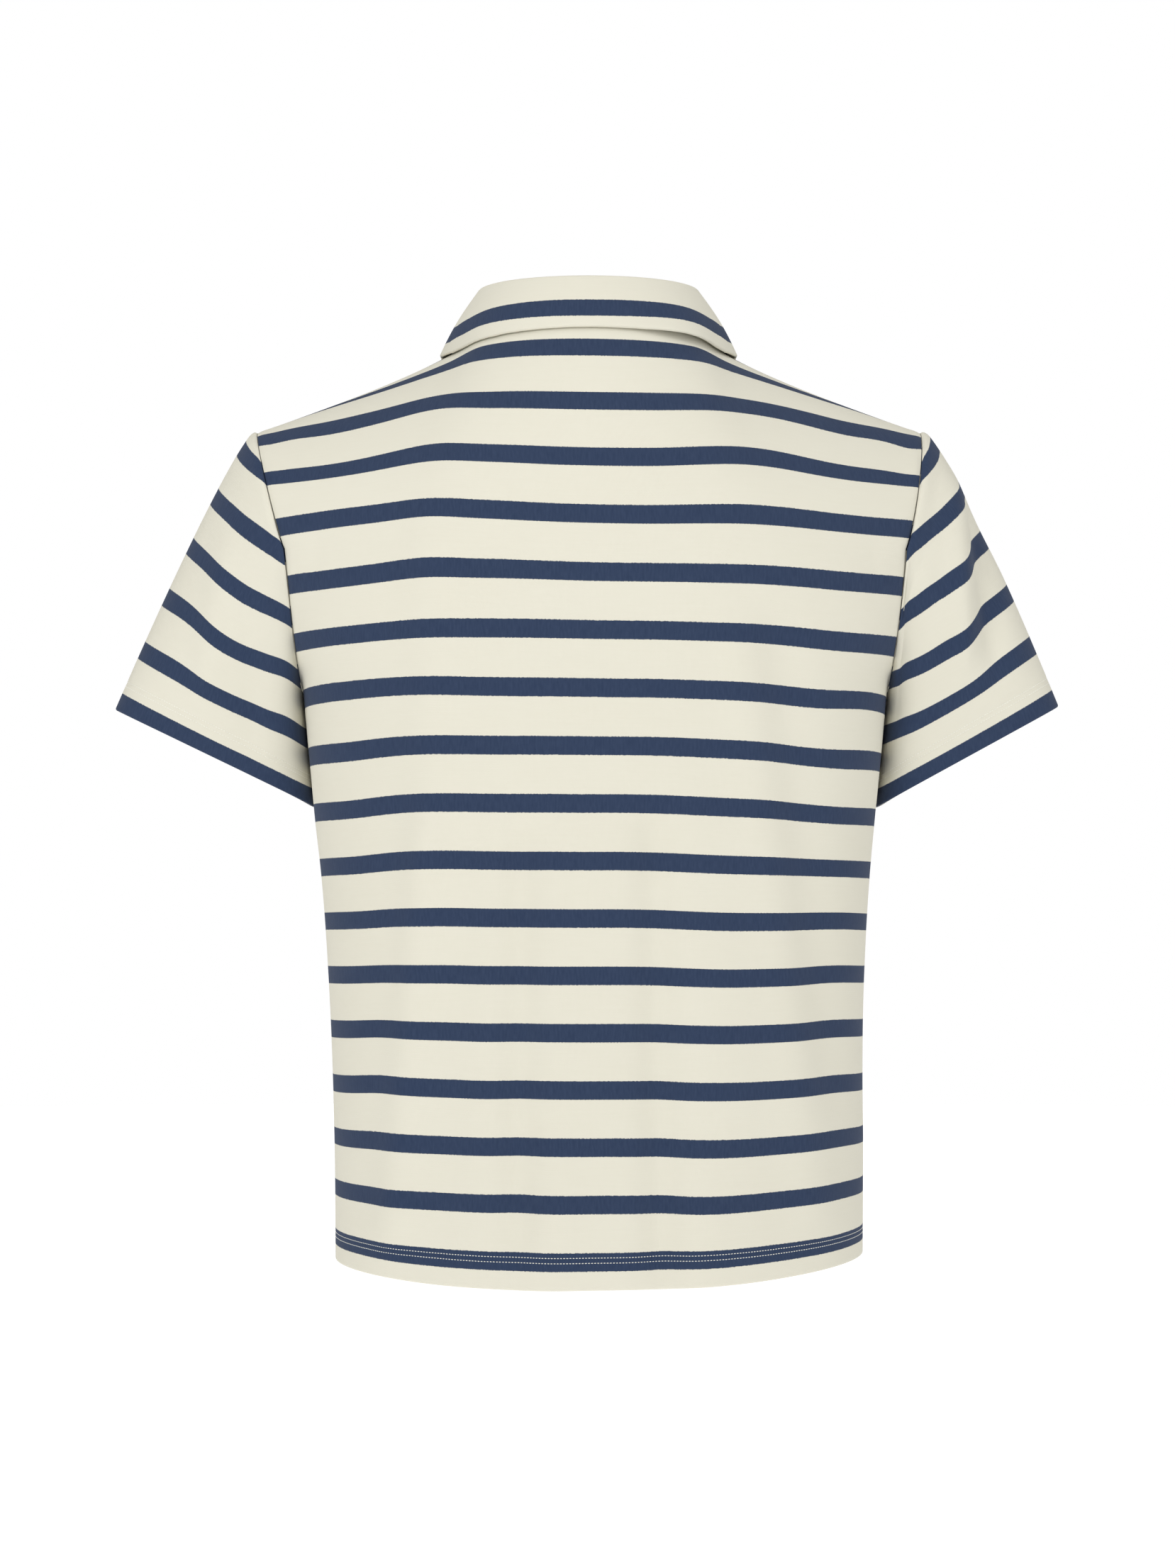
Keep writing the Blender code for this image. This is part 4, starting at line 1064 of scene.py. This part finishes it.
# %% [markdown]
# ## Buttons
#
# Three four-hole buttons close the placket. Each is turned from a disc: its face is inset and sunk
# to leave a rim, its edges are rounded and its holes are cut through. Two bars of thread, a few
# strands each, hold it, and a ring of close stitches makes its buttonhole.

# %% Button sizes
BUTTON_DEPTHS = (22.0, 74.0, 126.0)              # below the neckline
BUTTON_RADIUS = 5.5
BUTTON_HEIGHT = 2.2
BUTTON_RIM = 1.0
BUTTON_WELL = 0.6
BUTTON_SLOPE = 0.5       # width of the slope from the rim down to the well
BUTTON_SOFTENING = 0.22
HOLE_RADIUS = 0.8
HOLE_SPREAD = 1.5
STRAND_OFFSETS = (-0.32, 0.0, 0.32)
STRAND_RADIUS = 0.17
BUTTONHOLE_LENGTH = 14.5
BUTTONHOLE_HALF = 1.0
BUTTONHOLE_STITCHES = {"pitch": 0.62, "dash": 0.56, "half_width": 0.5}


def rest_on_strip(depth):
    """Where a button lies on the upper strip, and the way that it faces."""
    middle = strip_face.shape[1] // 2
    line, facing = strip_face[:, middle], strip_normals[:, middle]
    height = line[-1, 2] - depth
    place = np.array([0.0, np.interp(height, line[:, 2], line[:, 1]), height])
    normal = np.array([0.0, *(np.interp(height, line[:, 2], facing[:, axis]) for axis in (1, 2))])
    normal /= np.linalg.norm(normal)
    away = strip_face.reshape(-1, 3) - place
    under_it = np.linalg.norm(away, axis=1) < BUTTON_RADIUS
    highest = (away[under_it] @ normal).max()
    return Vector(place + normal * (highest + SEAM_GAP)), Vector(normal)


# %% [markdown]
# A lathe turns the real disc and a drill makes its holes. Here a cylinder is inset twice and its
# middle sunk, a Boolean cuts each hole, and a bevel takes the sharpness off every edge.

# %% Turn the first button
def select_only(thing):
    bpy.ops.object.select_all(action="DESELECT")
    thing.select_set(True)
    bpy.context.view_layer.objects.active = thing


def turn_button():
    bpy.ops.object.select_all(action="DESELECT")
    bpy.ops.mesh.primitive_cylinder_add(vertices=64, radius=BUTTON_RADIUS * MM, depth=BUTTON_HEIGHT * MM)
    button = bpy.context.object
    bpy.ops.object.mode_set(mode="EDIT")
    bpy.ops.mesh.select_mode(type="FACE")
    bpy.ops.mesh.select_all(action="DESELECT")
    bpy.ops.object.mode_set(mode="OBJECT")
    for face in button.data.polygons:
        face.select = face.normal.z > 0.9
    bpy.ops.object.mode_set(mode="EDIT")
    bpy.ops.mesh.inset(thickness=BUTTON_RIM * MM)
    bpy.ops.mesh.inset(thickness=BUTTON_SLOPE * MM)
    bpy.ops.transform.translate(value=(0, 0, -BUTTON_WELL * MM))
    bpy.ops.object.mode_set(mode="OBJECT")
    for across in (-1, 1):
        for up in (-1, 1):
            place = (across * HOLE_SPREAD * MM, up * HOLE_SPREAD * MM, 0)
            bpy.ops.mesh.primitive_cylinder_add(vertices=24, radius=HOLE_RADIUS * MM, depth=6 * MM,
                                                location=place)
            drill = bpy.context.object
            select_only(button)
            cut = button.modifiers.new("hole", "BOOLEAN")
            cut.operation = "DIFFERENCE"
            cut.object = drill
            bpy.ops.object.modifier_apply(modifier=cut.name)
            bpy.data.objects.remove(drill)
    select_only(button)
    soften = button.modifiers.new("soften", "BEVEL")
    soften.width = BUTTON_SOFTENING * MM
    soften.segments = 3
    soften.limit_method = "ANGLE"
    soften.angle_limit = radians(40)
    bpy.ops.object.modifier_apply(modifier=soften.name)
    bpy.ops.object.shade_smooth_by_angle(angle=radians(30))
    return button


def sew_thread():
    """Two bars of three strands, each strand a flattened ring through a pair of holes."""
    strands = []
    for across in (-1, 1):
        for beside in STRAND_OFFSETS:
            bpy.ops.object.select_all(action="DESELECT")
            bpy.ops.mesh.primitive_torus_add(
                major_segments=28, minor_segments=8, major_radius=HOLE_SPREAD * MM,
                minor_radius=STRAND_RADIUS * MM, rotation=(0, pi / 2, 0))
            bpy.ops.object.transform_apply(location=False, rotation=True, scale=False)
            strand = bpy.context.object
            strand.scale = (1.0, 1.0, 0.5)
            floor_of_well = BUTTON_HEIGHT / 2 - BUTTON_WELL
            strand.location = ((across * HOLE_SPREAD + beside) * MM, 0.0, floor_of_well * MM)
            strands.append(strand)
    select_only(strands[0])
    for strand in strands:
        strand.select_set(True)
    bpy.ops.object.join()
    bpy.ops.object.transform_apply(location=True, rotation=True, scale=True)
    bpy.ops.object.shade_smooth()
    return strands[0]


def put_down(thing, name, place, facing):
    """Copy a finished thing to its place and leave the copy's own origin at the world's."""
    copy = thing.copy()
    copy.data = thing.data.copy()
    copy.name = name
    bpy.context.scene.collection.objects.link(copy)
    turn = facing.to_track_quat("Z", "Y").to_matrix().to_4x4()
    copy.data.transform(Matrix.Translation(place * MM) @ turn)
    return copy


def buttonhole(place, facing):
    """Close stitches round a long narrow slot, on the strip under a button."""
    turns = np.radians(np.linspace(0, 360, 61))
    end = BUTTONHOLE_LENGTH / 2 - BUTTONHOLE_HALF
    x = BUTTONHOLE_HALF * np.sin(turns)
    z = place[2] + BUTTONHOLE_HALF * np.cos(turns) + end * np.sign(np.cos(turns))
    middle = strip_face.shape[1] // 2
    line = strip_face[:, middle]
    path = np.stack([x, np.interp(z, line[:, 2], line[:, 1]), z], axis=1)
    return path, np.broadcast_to(np.array(facing), path.shape)


button_pattern = turn_button()
thread_pattern = sew_thread()
holes = []
for number, depth in enumerate(BUTTON_DEPTHS, start=1):
    base, facing = rest_on_strip(depth)
    name = f"button_{number}"
    pieces[name] = put_down(button_pattern, name, base + facing * BUTTON_HEIGHT / 2, facing)
    threads[name] = put_down(thread_pattern, "thread_" + name, base + facing * BUTTON_HEIGHT / 2, facing)
    holes.append(buttonhole(base, facing))
bpy.data.objects.remove(button_pattern)
bpy.data.objects.remove(thread_pattern)
threads["buttonholes"] = stitches("buttonholes", holes, **BUTTONHOLE_STITCHES)
print("buttons:", len(BUTTON_DEPTHS), "each", 2 * BUTTON_RADIUS, "mm across")

# %% [markdown]
# ## The jersey material
#
# Yarn-dyed stripes are knitted in, so they follow the rows of the cloth and their edges step from
# loop to loop. A node group draws the stripe, the loops and the slight unevenness of the yarn from
# the cloth's UV map. It gives a colour and a height, and each material feeds these to its own
# Principled shader. An image could give the same look, but it would fix the resolution.

# %% Node helpers
def link_value(tree, socket, value):
    if isinstance(value, bpy.types.NodeSocket):
        tree.links.new(value, socket)
    else:
        socket.default_value = value


def math_node(tree, operation, first, second=0.0):
    node = tree.nodes.new("ShaderNodeMath")
    node.operation = operation
    link_value(tree, node.inputs[0], first)
    link_value(tree, node.inputs[1], second)
    return node.outputs[0]


def noise_node(tree, vector, stretch, detail=2.0):
    """Noise of about 0 to 1, with this many blobs a metre across and up."""
    scale = tree.nodes.new("ShaderNodeVectorMath")
    scale.operation = "MULTIPLY"
    tree.links.new(vector, scale.inputs[0])
    scale.inputs[1].default_value = (*stretch, 1.0)
    node = tree.nodes.new("ShaderNodeTexNoise")
    node.inputs["Scale"].default_value = 1.0
    node.inputs["Detail"].default_value = detail
    tree.links.new(scale.outputs[0], node.inputs["Vector"])
    return node.outputs["Fac"]


def mix_colours(tree, factor, first, second, blend="MIX"):
    node = tree.nodes.new("ShaderNodeMix")
    node.data_type = "RGBA"
    node.blend_type = blend
    link_value(tree, node.inputs["Factor"], factor)
    link_value(tree, node.inputs["A"], first)
    link_value(tree, node.inputs["B"], second)
    return node.outputs["Result"]


# %% [markdown]
# Up the cloth, each point's distance from the nearest stripe decides between cream and navy. Across
# it, columns of loops rise and fall, and each is crossed by slanting loops, one for every row.

# %% The striped jersey group
WALE = 0.0009            # width of one column of loops
COURSE = 0.00068         # height of one row of loops
RAGGED_EDGE = 0.0007     # how far a stripe's edge steps from loop to loop
WAVER = 0.0008           # how far whole stripes wander
EDGE_BLUR = 0.00025
YARN_DARKER = (0.955, 0.945, 0.92, 1.0)
HEATHER_SHARE = 0.35
FUZZ_SHARE = 0.35
NOISES = {
    # blobs a metre across and up the cloth, and their detail
    "ragged": (1100.0, 300.0, 1.0),
    "waver": (16.0, 6.0, 1.0),
    "slub": (45.0, 700.0, 3.0),
    "patch": (9.0, 14.0, 2.0),
    "heather": (900.0, 160.0, 2.0),
    "fuzz": (2500.0, 2500.0, 2.0),
}


def striped_jersey_group():
    tree = bpy.data.node_groups.new("striped_jersey", "ShaderNodeTree")
    for name, kind in (("Cloth", "Vector"), ("Pitch", "Float"), ("Band", "Float"), ("First", "Float"),
                       ("Cream", "Color"), ("Navy", "Color"), ("Heather", "Color")):
        tree.interface.new_socket(name, in_out="INPUT", socket_type="NodeSocket" + kind)
    for name, kind in (("Colour", "Color"), ("Height", "Float")):
        tree.interface.new_socket(name, in_out="OUTPUT", socket_type="NodeSocket" + kind)
    given = tree.nodes.new("NodeGroupInput").outputs
    result = tree.nodes.new("NodeGroupOutput").inputs
    parts = tree.nodes.new("ShaderNodeSeparateXYZ")
    tree.links.new(given["Cloth"], parts.inputs[0])
    across, up = parts.outputs[0], parts.outputs[1]

    noises = {name: noise_node(tree, given["Cloth"], row[:2], row[2]) for name, row in NOISES.items()}
    shifted = up
    for name, reach in (("ragged", RAGGED_EDGE), ("waver", WAVER)):
        shift = math_node(tree, "MULTIPLY_ADD", noises[name], reach)
        shift.node.inputs[2].default_value = -reach / 2
        shifted = math_node(tree, "ADD", shift, shifted)
    turns = math_node(tree, "DIVIDE", math_node(tree, "SUBTRACT", shifted, given["First"]), given["Pitch"])
    away = math_node(tree, "ABSOLUTE", math_node(tree, "SUBTRACT", turns, math_node(tree, "ROUND", turns)))
    away = math_node(tree, "MULTIPLY", away, given["Pitch"])
    stripe = tree.nodes.new("ShaderNodeMapRange")
    stripe.interpolation_type = "SMOOTHSTEP"
    half = math_node(tree, "MULTIPLY", given["Band"], 0.5)
    tree.links.new(away, stripe.inputs["Value"])
    tree.links.new(math_node(tree, "SUBTRACT", half, EDGE_BLUR), stripe.inputs["From Min"])
    tree.links.new(math_node(tree, "ADD", half, EDGE_BLUR), stripe.inputs["From Max"])
    stripe.inputs["To Min"].default_value = 1.0
    stripe.inputs["To Max"].default_value = 0.0

    uneven = math_node(tree, "MULTIPLY", math_node(tree, "ADD", noises["slub"], noises["patch"]), 0.5)
    cream = mix_colours(tree, uneven, given["Cream"], YARN_DARKER, "MULTIPLY")
    heather = math_node(tree, "MULTIPLY", noises["heather"], HEATHER_SHARE)
    navy = mix_colours(tree, heather, given["Navy"], given["Heather"])
    tree.links.new(mix_colours(tree, stripe.outputs[0], cream, navy), result["Colour"])

    wale = math_node(tree, "PINGPONG", math_node(tree, "DIVIDE", across, WALE), 0.5)
    slant = math_node(tree, "ADD", math_node(tree, "DIVIDE", up, COURSE), wale)
    loop = math_node(tree, "PINGPONG", slant, 0.5)
    ridge = math_node(tree, "SINE", math_node(tree, "MULTIPLY", wale, 2 * pi))
    height = math_node(tree, "MULTIPLY", math_node(tree, "ADD", ridge, loop), 0.5)
    height = math_node(tree, "ADD", height, math_node(tree, "MULTIPLY", noises["fuzz"], FUZZ_SHARE))
    tree.links.new(height, result["Height"])
    return tree


STRIPED_JERSEY = striped_jersey_group()
print("jersey:", round(1 / WALE), "loops a metre across")

# %% Jersey materials
CREAM = (0.735, 0.713, 0.610, 1.0)
NAVY = (0.018, 0.033, 0.075, 1.0)
HEATHER = (0.07, 0.10, 0.17, 1.0)                # paler fibres in the navy yarn


def jersey_material(name, first_stripe):
    """Striped jersey whose first navy stripe is this many millimetres up the cloth."""
    material = bpy.data.materials.new(name)
    material.use_nodes = True
    tree = material.node_tree
    shader = tree.nodes["Principled BSDF"]
    uv = tree.nodes.new("ShaderNodeUVMap")
    uv.uv_map = "cloth"
    cloth = tree.nodes.new("ShaderNodeGroup")
    cloth.node_tree = STRIPED_JERSEY
    tree.links.new(uv.outputs["UV"], cloth.inputs["Cloth"])
    for socket, value in (("Pitch", STRIPE_PITCH * MM), ("Band", STRIPE_BAND * MM),
                          ("First", first_stripe * MM), ("Cream", CREAM), ("Navy", NAVY),
                          ("Heather", HEATHER)):
        cloth.inputs[socket].default_value = value
    bump = tree.nodes.new("ShaderNodeBump")
    bump.inputs["Strength"].default_value = 0.5
    bump.inputs["Distance"].default_value = 0.0002
    tree.links.new(cloth.outputs["Height"], bump.inputs["Height"])
    tree.links.new(bump.outputs["Normal"], shader.inputs["Normal"])
    tree.links.new(cloth.outputs["Colour"], shader.inputs["Base Color"])
    shader.inputs["Roughness"].default_value = 0.9
    shader.inputs["Specular IOR Level"].default_value = 0.2
    shader.inputs["Sheen Weight"].default_value = 0.05
    shader.inputs["Sheen Roughness"].default_value = 0.5
    return material


BODY_FIRST_STRIPE = 16.5
SLEEVE_FIRST_STRIPE = 5.3
COLLAR_FIRST_STRIPE = -26.1
FIRST_STRIPES = {"body_jersey": BODY_FIRST_STRIPE, "sleeve_jersey": SLEEVE_FIRST_STRIPE,
                 "collar_jersey": COLLAR_FIRST_STRIPE, "placket_jersey": BODY_FIRST_STRIPE}
finishes = {name: jersey_material(name, first) for name, first in FIRST_STRIPES.items()}

# %% [markdown]
# The thread is spun polyester a little paler than the cloth, and the buttons are cream shell-like
# plastic. Both have a slightly uneven colour, drawn on the object's own coordinates.

# %% Thread and button materials
THREAD = (0.86, 0.85, 0.78, 1.0)
THREAD_DARKER = (0.74, 0.73, 0.65, 1.0)
SHELL = (0.84, 0.81, 0.71, 1.0)
SHELL_DARKER = (0.7, 0.66, 0.55, 1.0)


def plain_material(name, colour, darker, blobs, roughness, coat):
    """One colour that varies gently towards a darker one, with this many blobs a metre."""
    material = bpy.data.materials.new(name)
    material.use_nodes = True
    tree = material.node_tree
    shader = tree.nodes["Principled BSDF"]
    place = tree.nodes.new("ShaderNodeTexCoord").outputs["Object"]
    uneven = noise_node(tree, place, (blobs, blobs))
    tree.links.new(mix_colours(tree, uneven, colour, darker), shader.inputs["Base Color"])
    shader.inputs["Roughness"].default_value = roughness
    shader.inputs["Coat Weight"].default_value = coat
    return material


finishes["sewing_thread"] = plain_material("sewing_thread", THREAD, THREAD_DARKER, 900.0, 0.55, 0.0)
finishes["button_shell"] = plain_material("button_shell", SHELL, SHELL_DARKER, 260.0, 0.25, 0.4)
print("materials:", ", ".join(finishes))

# %% [markdown]
# ## Hand the pieces to the frame
#
# Each finished piece moves with the frame's only body and stands for one of its plain walls. The
# stitches ride along and stand for nothing, because the plain model has none.

# %% Pieces ride on the body
CLOTH_PIECES = {
    # each piece's material and the pieces that it is sewn to
    "back": ("body_jersey", ("front", "collar")),
    "front": ("body_jersey", ("back", "collar")),
    "sleeve_left": ("sleeve_jersey", ("back", "front")),
    "sleeve_right": ("sleeve_jersey", ("back", "front")),
    "collar": ("collar_jersey", ("back", "front")),
    "placket_under": ("placket_jersey", ("front",)),
    "placket_over": ("placket_jersey", ("front",)),
}
for name, piece in pieces.items():
    slot = CLOTH_PIECES[name][0] if name in CLOTH_PIECES else "button_shell"
    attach(piece, "root")
    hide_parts(name)
    piece.data.materials.clear()
    piece.data.materials.append(finishes[slot])
for thread in threads.values():
    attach(thread, "root")
    thread.data.materials.clear()
    thread.data.materials.append(finishes["sewing_thread"])
print(len(pieces), "pieces and", len(threads), "meshes of thread ride on the body")

# %% [markdown]
# The size that every piece of cloth has when it lies flat is worked out here and printed. Each is
# measured on its own grid, from the distance across and up the cloth, so it needs no guess.

def cut_size(name):
    """Width, length and area of the flat piece, in metres, from its rows."""
    grid, _, _ = sewn_faces[name]
    closed = np.concatenate([grid, grid[:, :1]], axis=1) if name.startswith("sleeve") else grid
    widths = lengths(closed, 1)[:, -1] * MM
    heights = lengths(grid, 0)[-1] * MM
    area = float(((widths[1:] + widths[:-1]) / 2 * np.diff(lengths(grid, 0).mean(axis=1)) * MM).sum())
    return float(widths.max()), float(heights.max()), area


for name, (_, sewn_to) in CLOTH_PIECES.items():
    width, length, area = cut_size(name)
    area = min(area, width * length)
    print(f"{name}: {width / MM:.0f} by {length / MM:.0f} mm, {area:.3f} square metres")

# %% [markdown]
# ## Camera, light and floor
#
# The camera stands 1.7 m behind the shirt and level with its middle, as for a catalogue picture.

# %% Camera
FOCAL_LENGTH = 63.8      # of a 36 mm sensor
CAMERA_PLACE = (0.0006, 1.705, -0.354)
RISE_OF_FRAME = 0.0967   # the picture was framed higher than the camera's level line
camera_data = bpy.data.cameras.new("camera")
camera_data.lens = FOCAL_LENGTH
camera_data.shift_y = RISE_OF_FRAME
camera = bpy.data.objects.new("camera", camera_data)
camera.location = CAMERA_PLACE
camera.rotation_euler = (pi / 2, 0.0, pi)
bpy.context.scene.collection.objects.link(camera)
bpy.context.scene.camera = camera
print("camera", round(CAMERA_PLACE[1], 2), "m away, focal length", FOCAL_LENGTH, "mm")

# %% [markdown]
# A product photograph like this one has a white sweep behind the shirt and big soft lights. Here the
# world is white where the camera looks past the shirt, and dimmer as a light on it, so that three
# large panels can model the folds. The floor glows a little, as a lit sweep does, and stays white.

# %% Light
DOME_STRENGTH = 0.495
LIGHTS_AIM = (0.0, 0.0, -0.3)
LIGHTS = (
    # name, watts, size, place
    ("key", 18.5, 1.0, (1.2, 2.1, 0.9)),
    ("top", 12.0, 1.2, (-0.3, 1.0, 1.7)),
    ("fill", 7.5, 2.0, (-2.4, 2.0, 0.3)),
)
bpy.context.scene.view_settings.view_transform = "Standard"
world = bpy.data.worlds.new("studio")
world.use_nodes = True
sky = world.node_tree
dome = sky.nodes["Background"]
dome.inputs["Color"].default_value = (1.0, 1.0, 1.0, 1.0)
dome.inputs["Strength"].default_value = DOME_STRENGTH
sweep = sky.nodes.new("ShaderNodeBackground")
sweep.inputs["Color"].default_value = (1.0, 1.0, 1.0, 1.0)
either = sky.nodes.new("ShaderNodeMixShader")
sky.links.new(sky.nodes.new("ShaderNodeLightPath").outputs["Is Camera Ray"], either.inputs[0])
sky.links.new(dome.outputs[0], either.inputs[1])
sky.links.new(sweep.outputs[0], either.inputs[2])
sky.links.new(either.outputs[0], sky.nodes["World Output"].inputs["Surface"])
bpy.context.scene.world = world

for name, watts, size, place in LIGHTS:
    lamp_data = bpy.data.lights.new(name, "AREA")
    lamp_data.energy = watts
    lamp_data.size = size
    lamp = bpy.data.objects.new(name, lamp_data)
    lamp.location = place
    lamp.rotation_euler = (Vector(LIGHTS_AIM) - Vector(place)).to_track_quat("-Z", "Y").to_euler()
    bpy.context.scene.collection.objects.link(lamp)
print("lights:", ", ".join(name for name, *_ in LIGHTS))

# %% [markdown]
# The floor is a plain disc well below the hem, and wide enough that its rim is out of every view.

# %% Floor
FLOOR_Z = -1.3
bpy.ops.object.select_all(action="DESELECT")
bpy.ops.mesh.primitive_circle_add(vertices=96, radius=14.0, fill_type="NGON", location=(0, 0, FLOOR_Z))
floor = bpy.context.object
floor.name = "floor"
floor_paint = bpy.data.materials.new("floor_paint")
floor_paint.use_nodes = True
paint = floor_paint.node_tree.nodes["Principled BSDF"]
paint.inputs["Base Color"].default_value = (0.95, 0.95, 0.95, 1.0)
paint.inputs["Roughness"].default_value = 0.9
paint.inputs["Emission Color"].default_value = (1.0, 1.0, 1.0, 1.0)
paint.inputs["Emission Strength"].default_value = 0.62
floor.data.materials.append(floor_paint)
print("floor", round(-FLOOR_Z, 2), "m below the neck")
